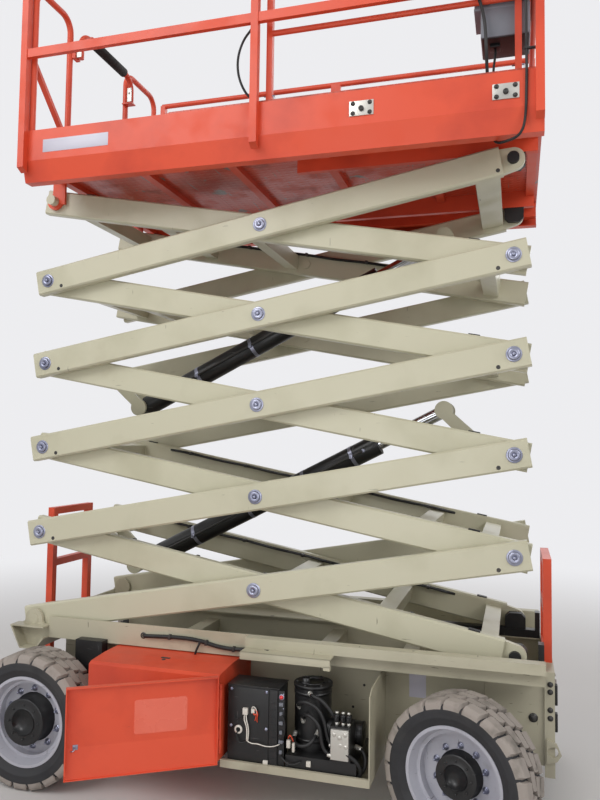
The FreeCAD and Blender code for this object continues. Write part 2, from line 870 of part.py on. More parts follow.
def make_rear_beam():
    """Open trough across the rear end with the clevis ears that carry the first arms."""
    body = new_body("rear_beam")
    low = dim("trough_low")
    top = dim("trough_top")
    plate = dim("plate")
    half = dim("trough_half")
    floor = dim("trough_floor_half")
    front = dim("rail_rear_gap")
    profile = [
        (-half, top),
        (-floor, low),
        (floor, low),
        (front, dim("step_z")),
        (front, step_top),
        (front - plate, step_top),
        (floor - plate / 2, low + plate),
        (plate / 2 - floor, low + plate),
        (plate * 1.25 - half, top),
    ]
    width = dim("flange_y")
    add_prism(body, "y", -width, width, profile)
    pin_z = dim("base_pin_z")
    radius = dim("ear_radius")
    ear_thick = dim("ear_thick")
    outer_ear = outer_out + dim("ear_gap")
    inner_ear = outer_in - dim("ear_gap") - ear_thick
    closing = [(-half, top), (-floor, low), (floor, low), (front, step_top), (front, top)]
    # Columns: where the ear starts across the machine, half its foot, bottom of its foot.
    ears = (
        (outer_ear, dim("ear_base_half"), top),
        (inner_ear, floor - plate, low + plate),
    )
    for sign in (-1, 1):
        ends = by_value((outer_ear - plate) * sign, outer_ear * sign)
        add_prism(body, "y", ends[0], ends[1], closing)
        ends = by_value((outer_ear - plate) * sign, width * sign)
        add_prism(body, "y", ends[0], ends[1], rectangle(-half, front, top, top + plate))
        for start, foot_half, foot in ears:
            ends = by_value(start * sign, (start + ear_thick) * sign)
            ear = [
                (-foot_half, foot),
                (foot_half, foot),
                (radius * 0.9, pin_z),
                (-radius * 0.9, pin_z),
            ]
            add_prism(body, "y", ends[0], ends[1], ear)
            add_disc(body, "y", ends[0], ends[1], (0, pin_z), radius)
        tip = outer_ear + ear_thick + dim("pin_spare")
        ends = by_value(inner_ear * sign, tip * sign)
        add_disc(body, "y", ends[0], ends[1], (0, pin_z), dim("pin_radius"))
    node("rear_beam", [body], (dim("pin_x"), 0, 0, UP, 0))


def make_slide_tracks():
    """Lower tracks on the step of each rail, and a stop at the front of each."""
    track_out = inner_in - dim("block_side_gap") - dim("track_side_gap")
    track_in = inner_in - dim("block_side_gap") * 2 - dim("block_width")
    top = dim("base_pin_z") - dim("block_half_z") - dim("running")
    body = new_body("slide_track_near")
    outline = rectangle(track_rear_x, rail_front_x, -track_out, -track_in)
    add_prism(body, "z", step_top, top, outline)
    node("slide_tracks", [body, mirrored(body, "slide_track_far")])
    x = (rail_front_x - dim("stop_depth"), rail_front_x)
    z = (top, top + dim("stop_height"))
    stop = box_body("track_stop_near", x, (-track_out, -track_in), z)
    node("track_stops", [stop, mirrored(stop, "track_stop_far")])


def make_battery():
    inner = dim("frame_half") - dim("plate") - dim("battery_gap")
    low = dim("frame_bottom") + dim("plate")
    x = (cover_rear_x + dim("battery_rear"), king_x - dim("battery_front"))
    z = (low, low + dim("battery_high"))
    node("battery_pack", [box_body("battery_pack", x, (-inner, inner), z)])


def hinge_levels():
    """Bottom of each door hinge lug."""
    low = dim("door_low") + dim("hinge_inset")
    high = dim("door_high") - dim("hinge_inset") - dim("hinge_height")
    return [low, high]


def make_covers():
    """Rear hoods of both side bays: a folded sheet with a sloping top."""
    body = new_body("rear_cover_near")
    wall = dim("frame_half")
    sheet_t = dim("sheet_metal")
    out = dim("bay_outer")
    slope = dim("cover_slope_y")
    fold = out - dim("cover_fold")
    low = dim("cover_low")
    edge = dim("cover_edge_z")
    drop = edge - dim("cover_drop")
    top = dim("cover_top_z")
    profile = [
        (-wall, low),
        (-out, low),
        (-out, drop),
        (-fold, edge),
        (-slope, top),
        (-wall, top),
        (-wall, top - sheet_t),
        (-slope, top - sheet_t),
        (-fold, edge - sheet_t),
        (sheet_t - out, drop - sheet_t * 0.4),
        (sheet_t - out, low + sheet_t),
        (-wall, low + sheet_t),
    ]
    rear = cover_rear_x
    front = cover_front_x
    add_prism(body, "x", rear, front, profile)
    solid = profile[:6]
    add_prism(body, "x", rear, rear + sheet_t, solid)
    add_prism(body, "x", front - sheet_t, front, solid)
    knuckle = dim("hinge_round")
    inset = sheet_t * 0.4
    ear = [
        (front - inset, inset - out),
        (front - inset, -out - knuckle * 0.4),
        (front + knuckle * 0.6, -out - knuckle * 0.9),
        (front + knuckle * 1.1, inset - out),
    ]
    for start in hinge_levels():
        end = start + dim("hinge_height")
        add_prism(body, "z", start, end, ear)
        add_disc(body, "z", start, end, (hinge_x, -out), knuckle)
        cut_disc(body, "z", start, end, (hinge_x, -out), dim("door_pin") + dim("running"))
    node("rear_covers", [body, mirrored(body, "rear_cover_far")])


def make_trays():
    """Floor of the open bay, with an upstand along its edge and an end plate."""
    body = new_body("tray_near")
    wall = dim("frame_half")
    out = dim("bay_outer") - dim("door_thick") - dim("door_room")
    fold = out - dim("tray_fold")
    low = dim("tray_z")
    lip = low + dim("tray_lip")
    sheet_t = dim("sheet_metal")
    profile = [
        (-wall, low),
        (-out, low),
        (-out, lip),
        (-fold, lip),
        (-fold, low + sheet_t),
        (-wall, low + sheet_t),
    ]
    front = tray_front_x
    add_prism(body, "x", cover_front_x, front, profile)
    high = low + dim("tray_end_high")
    corner = dim("tray_end_corner")
    end = [
        (-wall, low),
        (-out, low),
        (-out, high - corner / 2),
        (corner - out, high),
        (-wall, high),
    ]
    add_prism(body, "x", front - sheet_t, front, end)
    bracket = rectangle(-wall, dim("plate") - wall, low, lip)
    add_prism(body, "x", cover_front_x, front, bracket)
    node("component_trays", [body, mirrored(body, "tray_far")])


def make_bay_units():
    """Black control module on the tray, hydraulic pump unit beside it, charger behind."""
    floor = dim("tray_z") + dim("sheet_metal")
    room = dim("bay_room")
    out = dim("bay_outer") - dim("door_thick") - room
    rear = cover_front_x + room
    length = tray_front_x - dim("sheet_metal") - room - rear
    top = floor + dim("module_high")
    x = (rear, rear + length * dim("module_share"))
    y = (-out, dim("module_depth") - out)
    node("control_module", [box_body("control_module", x, y, (floor, top))])

    pump = new_body("hydraulic_unit")
    start = rear + length * dim("pump_start_share")
    end = start + length * dim("pump_share")
    base = floor + dim("pump_base")
    depth = dim("pump_depth")
    centre_y = depth / 2 - out
    tank_r = length * dim("tank_share")
    motor_r = tank_r * dim("motor_share")
    block_rear = end - motor_r * dim("block_share")
    block = rectangle(block_rear, end - room, -out, centre_y - motor_r * 3 / 4)
    add_prism(pump, "z", floor, base, rectangle(start, end, -out, depth - out))
    add_disc(pump, "z", base, top, (start + tank_r, centre_y), tank_r)
    motor_z = base + motor_r * 1.4
    add_disc(pump, "x", start + tank_r * 1.9, end, (centre_y, motor_z), motor_r)
    add_prism(pump, "z", base, base + depth / 2, block)
    node("hydraulic_unit", [pump])

    x = (cover_rear_x - dim("charger_gap") - dim("charger_wide"), cover_rear_x - dim("charger_gap"))
    y = (-dim("web_y") - dim("charger_deep"), -dim("web_y"))
    z = (dim("charger_low"), dim("charger_low") + dim("charger_high"))
    node("charger", [box_body("charger", x, y, z)])


def make_door(side, sign, angle):
    """Bay door: a bent sheet with a folded edge all round and a deep flange at its free edge.

    Its local origin is on the hinge line. The skin tucks in below the crease.
    """
    body = new_body(f"door_{side}")
    length = tray_front_x - dim("door_gap") - hinge_x
    thick = dim("door_thick")
    sheet_t = dim("sheet_metal")
    low = dim("door_low")
    high = dim("door_high")
    edge = dim("door_edge")
    crease = dim("door_crease")
    tuck = dim("door_tuck")
    lip = dim("door_lip")
    outside = [(thick, high), (0, high), (0, crease), (tuck, low), (thick, low)]
    skin = outside + [
        (thick, low + sheet_t),
        (tuck + sheet_t, low + sheet_t),
        (sheet_t, crease),
        (sheet_t, high - sheet_t),
        (thick, high - sheet_t),
    ]
    flange = outside + [
        (thick, low + sheet_t * 6),
        (lip, low + sheet_t * 6),
        (lip, dim("door_lip_step")),
        (dim("door_lip_wide"), dim("door_lip_step")),
        (dim("door_lip_wide"), high - sheet_t * 5),
        (thick, high - sheet_t * 3),
    ]
    leaf_t = sheet_t * 0.6
    leaf = [(0, -leaf_t), (edge + sheet_t / 2, 0), (edge + sheet_t / 2, sheet_t), (0, leaf_t)]
    if sign > 0:
        skin, flange, outside = (
            [(-as_size(u), v) for u, v in outline] for outline in (skin, flange, outside)
        )
        leaf = [(u, -as_size(v)) for u, v in leaf]
    add_prism(body, "x", edge, length, skin)
    add_prism(body, "x", edge, edge + sheet_t, outside)
    add_prism(body, "x", length - sheet_t, length, flange)
    lower, upper = hinge_levels()
    clear = dim("hinge_height") + dim("hinge_clear")
    reach = dim("hinge_leaf")
    pin = (lower - reach / 2, upper + clear + reach / 2)
    add_disc(body, "z", pin[0], pin[1], (0, 0), dim("door_pin"))
    gap = dim("hinge_clear")
    for start, end in ((lower + clear, lower + clear + reach), (upper - gap - reach, upper - gap)):
        add_prism(body, "z", start, end, leaf)
    place = (hinge_x, dim("bay_outer") * sign, 0, UP, angle)
    node(f"door_{side}", [body], place)


def make_ladder(name, centre_x, low, top, rungs):
    """Two posts with a top rail and rungs."""
    body = new_body(name)
    half = dim("ladder_half")
    tube = dim("ladder_tube")
    back = centre_x - tube / 2
    front = centre_x + tube / 2
    window_ends = [level + tube for level in rungs]
    window_tops = rungs[1:] + [top - tube]
    add_prism(body, "x", back, front, rectangle(-half, half, low, top))
    for start, end in zip(window_ends, window_tops):
        window = rectangle(tube - half, half - tube, start, end)
        cut_prism(body, "x", back, front, window)
    node(name, [body])


def make_ladders():
    tube = dim("ladder_tube")
    rear_x = dim("pin_x") - dim("trough_half") - tube / 2
    low = dim("rear_ladder_low")
    rungs = [low, low + dim("rear_rung"), low + dim("rear_rung") * 2]
    make_ladder("ladder_rear", rear_x, low, dim("rear_ladder_top"), rungs)
    front_x = rail_front_x + tube / 2
    base = dim("front_beam_top")
    rungs = [base, base + dim("front_rung")]
    make_ladder("ladder_front", front_x, base, dim("front_ladder_top"), rungs)


def make_arm(name, y_in, y_out, features, front_eye=False):
    """Closed rectangular tube along X, its middle at the origin.

    With a front eye the tube stops short of its front pin, and a rounded plate carries it.
    """
    body = new_body(name)
    half_x = half_arm + dim("arm_end")
    front_x = half_arm - dim("eye_cut") if front_eye else half_x
    half_z = dim("arm_height") / 2
    wall = dim("arm_wall")
    bevel = dim("arm_edge")
    section = [
        (-y_out, bevel - half_z),
        (bevel - y_out, -half_z),
        (-bevel - y_in, -half_z),
        (-y_in, bevel - half_z),
        (-y_in, half_z - bevel),
        (-bevel - y_in, half_z),
        (bevel - y_out, half_z),
        (-y_out, half_z - bevel),
    ]
    add_prism(body, "x", -half_x, front_x, section)
    hollow = rectangle(-y_out + wall, -y_in - wall, wall - half_z, half_z - wall)
    cut_prism(body, "x", -half_x + wall, front_x - wall, hollow)
    if front_eye:
        eye = [
            (front_x - wall, bevel - half_z),
            (half_arm, -dim("eye_round")),
            (half_arm, dim("eye_round")),
            (front_x - wall, half_z - bevel),
        ]
        plate_out = -y_in - dim("eye_plate")
        add_prism(body, "y", plate_out, -y_in, eye)
        add_disc(body, "y", plate_out, -y_in, (half_arm, 0), dim("eye_round"))
    for kind, x, low, high in features:
        if kind == "bore":
            cut_disc(body, "y", -y_out, -y_in, (x, 0), pin_hole)
        else:
            add_disc(body, "y", low, high, (x, 0), dim("pin_radius"))
    return body


def make_outer_arms(stage):
    """Outer arms rise to the front. Bored at their ends, with a stub pin at the middle."""
    name = f"outer_arms_{stage}"
    centre_pin = ("pin", 0, -outer_in - dim("arm_wall"), -inner_in + dim("pin_head"))
    features = [("bore", -half_arm, 0, 0), centre_pin, ("bore", half_arm, 0, 0)]
    last = stage == 5
    near = make_arm(f"outer_arm_{stage}_near", outer_in, outer_out, features, last)
    pieces = [near, mirrored(near, f"outer_arm_{stage}_far")]
    if last:
        pieces.append(make_tie_tube())
    middle_z = dim("base_pin_z") + stage_height * (stage - 0.5)
    place = (dim("pin_x") + span / 2, 0, middle_z, ACROSS, -dim("rest_angle"))
    node(name, pieces, place)


def make_tie_tube():
    """Rectangular tube that ties the last outer arms together near their front ends."""
    body = new_body("outer_tie")
    half_x = dim("tie_wide") / 2
    half_z = dim("tie_high") / 2
    x = half_arm - dim("tie_inset")
    wall = dim("cross_wall")
    outer = rectangle(x - half_x, x + half_x, -half_z, half_z)
    add_prism(body, "y", -outer_in, outer_in, outer)
    hollow = rectangle(x - half_x + wall, x + half_x - wall, wall - half_z, half_z - wall)
    cut_prism(body, "y", -outer_in, outer_in, hollow)
    return body


def make_inner_arms(stage):
    """Inner arms rise to the rear. A pin at each end reaches outward.

    The first pair is bored at the front, where the pin belongs to the slide block.
    """
    name = f"inner_arms_{stage}"
    pin_start = -inner_out + dim("arm_wall")
    first = stage == 1
    features = [("bore", 0, 0, 0), ("pin", -half_arm, -pin_end, pin_start)]
    if first:
        features.append(("bore", half_arm, 0, 0))
    else:
        features.append(("pin", half_arm, -pin_end, pin_start))
    near = make_arm(f"inner_arm_{stage}_near", inner_in, inner_out, features, first)
    middle_z = dim("base_pin_z") + stage_height * (stage - 0.5)
    place = (dim("pin_x") + span / 2, 0, middle_z, ACROSS, dim("rest_angle"))
    node(name, [near, mirrored(near, f"inner_arm_{stage}_far")], place)


# Cross tubes between the inner arms. Columns: stage, tube positions along the arm,
# cylinder lugs as (end of the arm, whether a full pin goes through the cylinder's eye).
CROSS_TUBES = (
    (1, (100, 700), ((-1, True),)),
    (2, (300, 900), ()),
    (3, (), ((-1, False), (1, False))),
    (4, (-900, -300), ()),
    (5, (-700, -100), ((1, True),)),
)


def make_cross_tube(name, x, lug_end, full_pin):
    body = new_body(name)
    half = dim("cross_size") / 2
    wall = dim("cross_wall")
    if lug_end:
        eye = (lug_reach * lug_end, dim("lug_drop") * lug_end)
        round_end = dim("lug_round") * lug_end
        foot = rectangle(x - half, x + half, -half, half)
        inner_edge = x - half * lug_end
        plate_shape = [
            (inner_edge, -half * lug_end),
            (inner_edge, half * lug_end),
            (eye[0] - round_end * 0.6, eye[1] + round_end * 0.8),
            (eye[0], eye[1] - round_end),
        ]
        gap = dim("lug_gap")
        for sign in (-1, 1):
            ends = by_value(gap * sign, (gap + dim("lug_thick")) * sign)
            if sign < 0:
                add_prism(body, "y", ends[0], ends[1], foot)
            else:
                add_prism(body, "y", -gap, ends[1], foot)
            add_prism(body, "y", ends[0], ends[1], plate_shape)
            add_disc(body, "y", ends[0], ends[1], eye, dim("lug_round"))
            if not full_pin:
                stub = by_value((gap - dim("open_stub")) * sign, gap * sign)
                add_disc(body, "y", stub[0], stub[1], eye, dim("eye_pin"))
        if full_pin:
            add_disc(body, "y", -gap, gap, eye, dim("eye_pin"))
    outer = rectangle(x - half, x + half, -half, half)
    add_prism(body, "y", -inner_in, inner_in, outer)
    inner = rectangle(x - half + wall, x + half - wall, wall - half, half - wall)
    cut_prism(body, "y", -inner_in, inner_in, inner)
    return body


def make_cross_tubes():
    for stage, tubes, lugs in CROSS_TUBES:
        name = f"inner_cross_{stage}"
        pieces = []
        lug_table = dict(lugs)
        for end in (-1, 1):
            x = cross_end_x * end
            full_pin = lug_table.get(end, False)
            lug_end = end if end in lug_table else 0
            piece = make_cross_tube(f"{name}_end_{end + 1}", x, lug_end, full_pin)
            pieces.append(piece)
        for number, x in enumerate(tubes):
            pieces.append(
                make_cross_tube(f"{name}_tube_{number}", as_size(x), 0, False)
            )
        middle_z = dim("base_pin_z") + stage_height * (stage - 0.5)
        place = (dim("pin_x") + span / 2, 0, middle_z, ACROSS, dim("rest_angle"))
        node(name, pieces, place)


def make_slide_blocks():
    """Wear blocks beside the eyes of the first inner and the last outer arms.

    Each carries the pin that reaches outward through the eye.
    """
    half_x = dim("block_half_x")
    half_z = dim("block_half_z")
    corner = dim("block_corner")
    outline = [
        (-half_x, -half_z),
        (half_x, -half_z),
        (half_x, half_z - corner),
        (half_x - corner, half_z),
        (corner - half_x, half_z),
        (-half_x, half_z - corner),
    ]
    turned = [(u, -as_size(v)) for u, v in outline]
    # Columns: name, outline, inner side of its arm, width, end of its pin, level.
    blocks = (
        ("bottom", outline, inner_in, dim("block_width"), inner_out, dim("base_pin_z")),
        ("top", turned, outer_in, dim("top_block_width"), outer_out, top_pin_z),
    )
    for name, shape, side, width, arm_out, z in blocks:
        label = f"slide_blocks_{name}"
        body = new_body(f"{label}_near")
        out = side - dim("block_side_gap")
        add_prism(body, "y", -out, width - out, shape)
        tip = arm_out + dim("pin_spare")
        add_disc(body, "y", -tip, width / 2 - out, (0, 0), dim("pin_radius"))
        place = (dim("pin_x") + span, 0, z, UP, 0)
        node(label, [body, mirrored(body, f"{label}_far")], place)


def make_cylinder(name, stage_low, hinged_barrel):
    """Barrel and rod between the lugs of two inner arms. Local X runs along the rod."""
    angle = dim("rest_angle")
    reach = lug_reach
    drop = dim("lug_drop")
    run = (reach * cosine(angle) + drop * sine(angle)) * 2
    rise = stage_height * 2 - (reach * sine(angle) - drop * cosine(angle)) * 2
    length = Size(
        math.hypot(run.value, rise.value), f"sqrt({run.text} ^ 2 + {rise.text} ^ 2)"
    )
    slope = Size(
        math.degrees(math.atan2(rise.value, run.value)),
        f"(atan({rise.text} / {run.text}) / 1deg)",
    )
    centre_x = dim("pin_x") + span / 2
    centre_z = dim("base_pin_z") + stage_height * (stage_low - 0.5)
    base_x = centre_x - reach * cosine(angle) - drop * sine(angle)
    base_z = centre_z + reach * sine(angle) - drop * cosine(angle)
    place = (base_x, 0, base_z, ACROSS, -slope)

    wide = dim("lug_gap") - dim("running")
    slim = dim("open_eye_half")
    barrel_half, rod_half = (wide, slim) if hinged_barrel else (slim, wide)
    radius = dim("eye_radius")
    eye_hole = dim("eye_pin") + dim("running")

    barrel = new_body(f"{name}_barrel")
    add_disc(barrel, "y", -barrel_half, barrel_half, (0, 0), radius)
    neck = dim("eye_neck")
    add_disc(barrel, "x", neck, dim("barrel_length"), (0, 0), dim("barrel_radius"))
    bore = dim("rod_radius") + dim("running")
    start = dim("barrel_bore_start")
    cut_disc(barrel, "x", start, dim("barrel_length"), (0, 0), bore)
    cut_disc(barrel, "y", -barrel_half, barrel_half, (0, 0), eye_hole)
    node(f"{name}_barrel", [barrel], place)

    rod = new_body(f"{name}_rod")
    add_disc(rod, "y", -rod_half, rod_half, (length, 0), radius)
    tail = length - dim("rod_tail")
    add_disc(rod, "x", tail, length - neck, (0, 0), dim("rod_radius"))
    cut_disc(rod, "y", -rod_half, rod_half, (length, 0), eye_hole)
    node(f"{name}_rod", [rod], place)


def make_platform_frame():
    """Rear sill, joists, side beams, upper tracks and the brackets at the rear pins."""
    body = new_body("platform_frame")
    rear = deck_rear_x
    front = deck_front_x
    low = deck_under - dim("joist_depth")
    beam_in = dim("side_beam_y")
    beam_out = beam_in + dim("side_beam_width")
    width = dim("joist_width")
    inset = dim("joist_inset")
    pitch = (front - rear - width - inset * 2) / (JOISTS - 1)
    for number in range(JOISTS):
        start = rear + inset + pitch * number
        joist = rectangle(start, start + width, -beam_out, beam_out)
        add_prism(body, "z", low, deck_under, joist)
    sill_y = dim("panel_y") - dim("panel_sheet")
    sill = rectangle(rear, rear + dim("sill_width"), -sill_y, sill_y)
    add_prism(body, "z", deck_under, deck_top, sill)
    beam_low = deck_under - dim("side_beam_depth")
    track_out = outer_in - dim("block_side_gap") + dim("track_side_gap")
    track_in = outer_in - dim("block_side_gap") * 2 - dim("top_block_width")
    track_low = top_pin_z + dim("block_half_z") + dim("running")
    track_front = front - inset
    pin = (dim("pin_x"), top_pin_z)
    ear_rear = dim("pin_x") - dim("deck_inset")
    ear_front = dim("pin_x") + dim("top_ear_front")
    ear = rectangle(ear_rear, ear_front, top_pin_z - inset, deck_under)
    for sign in (-1, 1):
        ends = by_value(beam_in * sign, beam_out * sign)
        beam = rectangle(ends[0], ends[1], beam_low, deck_under)
        add_prism(body, "x", rear + inset / 4, front - inset / 4, beam)
        ends = by_value(track_in * sign, track_out * sign)
        track = rectangle(ends[0], ends[1], track_low, deck_under)
        add_prism(body, "x", track_rear_x, track_front, track)
        ends = by_value(outer_in * sign, (outer_in + dim("ear_thick")) * sign)
        add_prism(body, "y", ends[0], ends[1], ear)
        add_disc(body, "y", ends[0], ends[1], pin, dim("top_ear_radius"))
        cut_disc(body, "y", ends[0], ends[1], pin, pin_hole)
    node("platform_frame", [body])


def make_deck():
    """Fixed floor behind the roll-out deck, and the plate that the roll-out deck lies on."""
    half = dim("panel_y") - dim("panel_sheet")
    seam = dim("slide_deck_rear_x")
    pieces = []
    for name, start, end in (
        ("rear", deck_rear_x + dim("sill_width"), seam - dim("deck_seam")),
        ("front", seam, deck_front_x),
    ):
        z = (deck_under, deck_top)
        pieces.append(box_body(f"deck_{name}", (start, end), (-half, half), z))
    node("platform_deck", pieces)


def make_side_panels():
    """Creased side sheets that tuck under the deck and end in a lip."""
    body = new_body("side_panel_near")
    out = dim("panel_y")
    skin = dim("panel_sheet")
    low = top_pin_z + dim("panel_low")
    crease = top_pin_z + dim("panel_crease")
    top = top_pin_z + dim("panel_top")
    tuck = out - dim("panel_tuck")
    lip = tuck - dim("panel_lip")
    profile = [
        (-out, top),
        (-out, crease),
        (-tuck, low),
        (-lip, low),
        (-lip, low + skin),
        (-(tuck - skin), low + skin),
        (-(out - skin), crease),
        (-(out - skin), top),
    ]
    add_prism(body, "x", deck_rear_x, deck_front_x, profile)
    node("side_panels", [body, mirrored(body, "side_panel_far")])


def make_guard_rails():
    """Side rails: posts outside the panels, a flat mid rail and a round top rail."""
    post = dim("post")
    inner = dim("panel_y")
    outer = inner + post
    middle = inner + post / 2
    foot = top_pin_z + dim("post_low")
    top = deck_top + dim("rail_height")
    mid = deck_top + dim("mid_rail_height")
    rear = deck_rear_x
    front = deck_front_x
    body = new_body("side_rail_set_near")
    upright = [
        (-inner, foot),
        (-outer, foot + dim("post_slant")),
        (-outer, top),
        (-inner, top),
    ]
    for x in (rear - post / 8, dim("mid_post_x") - post / 2, front - post):
        add_prism(body, "x", x, x + post, upright)
    half = dim("mid_rail_half")
    outer_face = outer - post / 8
    flat = rectangle(-outer_face, dim("mid_rail_thick") - outer_face, mid - half, mid + half)
    add_prism(body, "x", rear + post / 8, front - post / 8, flat)
    add_disc(body, "x", rear + post / 8, front - post / 8, (-middle, top), dim("rail_radius"))
    node("guard_rails", [body, mirrored(body, "side_rail_set_far")])


def make_entry_rails():
    """Bent rails at the rear end, with the entry between them.

    Columns of the table: side, right and left post of the bent rail, seen from the front.
    """
    radius = dim("rail_radius")
    corner = dim("panel_y") - dim("panel_sheet") - radius * 1.3
    x = deck_rear_x + dim("entry_x")
    top = deck_top + dim("rail_height") - dim("entry_drop")
    near_post = dim("entry_near_y")
    far_post = dim("entry_far_y")
    pieces = []
    for side, right_y, left_y in (
        ("near", near_post, -corner),
        ("far", far_post + dim("entry_loop"), far_post),
    ):
        body = new_body(f"entry_rail_{side}")
        path = [(right_y, deck_top), (right_y, top), (left_y, top), (left_y, deck_top)]
        bent_tube(body, "x", x, path, radius, dim("rail_bend"))
        pieces.append(body)
    near_piece, far_piece = pieces

    thick = dim("brace_radius")
    mid = deck_top + dim("mid_rail_height") - dim("entry_mid_drop")
    foot = mid - (near_post + corner)
    brace = [
        (-corner, mid - thick),
        (near_post, foot - thick),
        (near_post, foot + thick),
        (-corner, mid + thick),
    ]
    add_prism(near_piece, "x", x - thick, x + thick, brace)

    x_bar, near, far, low, high = entry_bar_places()
    half = dim("bar_bracket")
    rear_face = x + radius * 0.7
    seat_x = x_bar - radius - dim("running")
    hinge_z = low + radius
    arm = rectangle(near_post - half / 6, near + half, hinge_z - half, hinge_z + half)
    add_prism(near_piece, "x", rear_face, seat_x, arm)
    hole = dim("bar_pin") + dim("running")
    cut_disc(near_piece, "x", rear_face, seat_x, (near, hinge_z), hole)
    rest = rectangle(x, x_bar + radius, far - radius, far_post + half / 6)
    rest_top = low - dim("running")
    add_prism(far_piece, "z", rest_top - dim("plate"), rest_top, rest)
    node("entry_rails", pieces)


def entry_bar_places():
    """Where the drop bar stands: x, both leg positions, foot and top."""
    x = deck_rear_x + dim("entry_x") + dim("bar_offset")
    near = dim("entry_near_y") + dim("bar_inset")
    far = dim("entry_far_y") - dim("bar_inset")
    top = deck_top + dim("rail_height") - dim("bar_drop")
    return x, near, far, top - dim("bar_leg"), top


def make_entry_bar():
    """Bent drop bar across the entry, padded along its top, pinned in the near bracket."""
    body = new_body("entry_bar")
    radius = dim("rail_radius")
    bend = dim("rail_bend")
    x, near, far, low, top = entry_bar_places()
    path = [(far, low), (far, top), (near, top), (near, low)]
    bent_tube(body, "x", x, path, radius, bend)
    foam = radius + dim("foam_thick")
    foam_end = bend * 1.15
    add_disc(body, "y", near + foam_end, far - foam_end, (x, top), foam)
    pin_start = deck_rear_x + dim("entry_x") + radius * 0.7
    add_disc(body, "x", pin_start, x, (near, low + radius), dim("bar_pin"))
    node("entry_bar", [body])


def make_slide_deck():
    """Roll-out deck with toe boards at its sides and front."""
    body = new_body("slide_deck")
    rear = dim("slide_deck_rear_x")
    front = slide_front_x
    half = slide_half
    thick = dim("slide_toe_thick")
    low = deck_top + dim("running")
    top = low + dim("slide_toe")
    rise = dim("slide_toe_start")
    add_prism(body, "z", low, low + thick, rectangle(rear, front, -half, half))
    toe = [
        (rear, low),
        (front, low),
        (front, top),
        (rear + rise, top),
        (rear + rise * 0.3, top - rise * 0.3),
        (rear, top - rise),
    ]
    for sign in (-1, 1):
        ends = by_value(half * sign, (half - thick) * sign)
        add_prism(body, "y", ends[0], ends[1], toe)
    add_prism(body, "z", low, top, rectangle(front - thick, front, -half, half))
    node("slide_deck", [body])


def make_slide_rails():
    """Rails of the roll-out deck: two sides and the front."""
    body = new_body("slide_rails")
    thick = dim("slide_toe_thick")
    post = dim("slide_post")
    radius = dim("slide_rail_radius")
    low = deck_top + dim("running") + thick
    top = deck_top + dim("rail_height") - dim("slide_rail_drop")
    mid = deck_top + dim("mid_rail_height") - dim("slide_rail_drop")
    out = slide_half - thick
    middle = out - post / 2
    rear = dim("mid_post_x") + dim("slide_post_gap")
    front = slide_front_x - thick
    for sign in (-1, 1):
        ends = by_value(out * sign, (out - post) * sign)
        for x in (rear, deck_front_x - dim("slide_post_inset")):
            leg = rectangle(x - post / 2, x + post / 2, ends[0], ends[1])
            add_prism(body, "z", low, top, leg)
        for z in (mid, top):
            add_disc(body, "x", rear, front, (middle * sign, z), radius)
    for z in (mid, top):
        add_disc(body, "y", -middle, middle, (front - radius, z), radius)
    node("slide_rails", [body])


def make_control_box():
    """Control box inside the near rail, its face sloping towards the platform."""
    body = new_body("control_box")
    out = slide_half - dim("slide_toe_thick") - dim("slide_post")
    front = slide_front_x - dim("slide_toe_thick") - dim("control_gap")
    rear = front - dim("control_length")
    low = deck_top + dim("control_rise")
    top = low + dim("control_height")
    slope = dim("control_slope")
    outline = [
        (rear, low),
        (front, low),
        (front, top),
        (rear + slope, top),
        (rear, top - slope),
    ]
    add_prism(body, "y", -out, dim("control_depth") - out, outline)
    node("control_box", [body])


make_wheels()
make_knuckles()
make_axles()
make_side_rails()
make_cross_members()
make_front_beam()
make_rear_beam()
make_slide_tracks()
make_battery()
make_covers()
make_trays()
make_bay_units()
make_door("near", -1, -dim("door_open"))
make_door("far", 1, 0)
make_ladders()
for stage in range(1, 6):
    make_outer_arms(stage)
    make_inner_arms(stage)
make_cross_tubes()
make_slide_blocks()
make_cylinder("cylinder_lower", 1, True)
make_cylinder("cylinder_upper", 3, False)
make_platform_frame()
make_deck()
make_side_panels()
make_guard_rails()
make_entry_rails()
make_entry_bar()
make_slide_deck()
make_slide_rails()
make_control_box()

doc.recompute()

for item in doc.Objects:
    if "Invalid" in item.State or "Error" in item.State:
        raise RuntimeError(f"{item.Label} did not build: {item.State}")
for part in NODES:
    if part.Shape.isNull() or not part.Shape.isValid():
        raise RuntimeError(f"{part.Label} has no valid shape")

os.makedirs("parts", exist_ok=True)
for part in NODES:
    part.Shape.exportStep(f"parts/{part.Label}.step")
    print(part.Label, len(part.Shape.Solids), round(part.Shape.Volume / 1e6, 3))
print(len(NODES), "nodes")
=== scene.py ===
import bpy
import bmesh
import json
import math
import random
from mathutils import Matrix, Vector


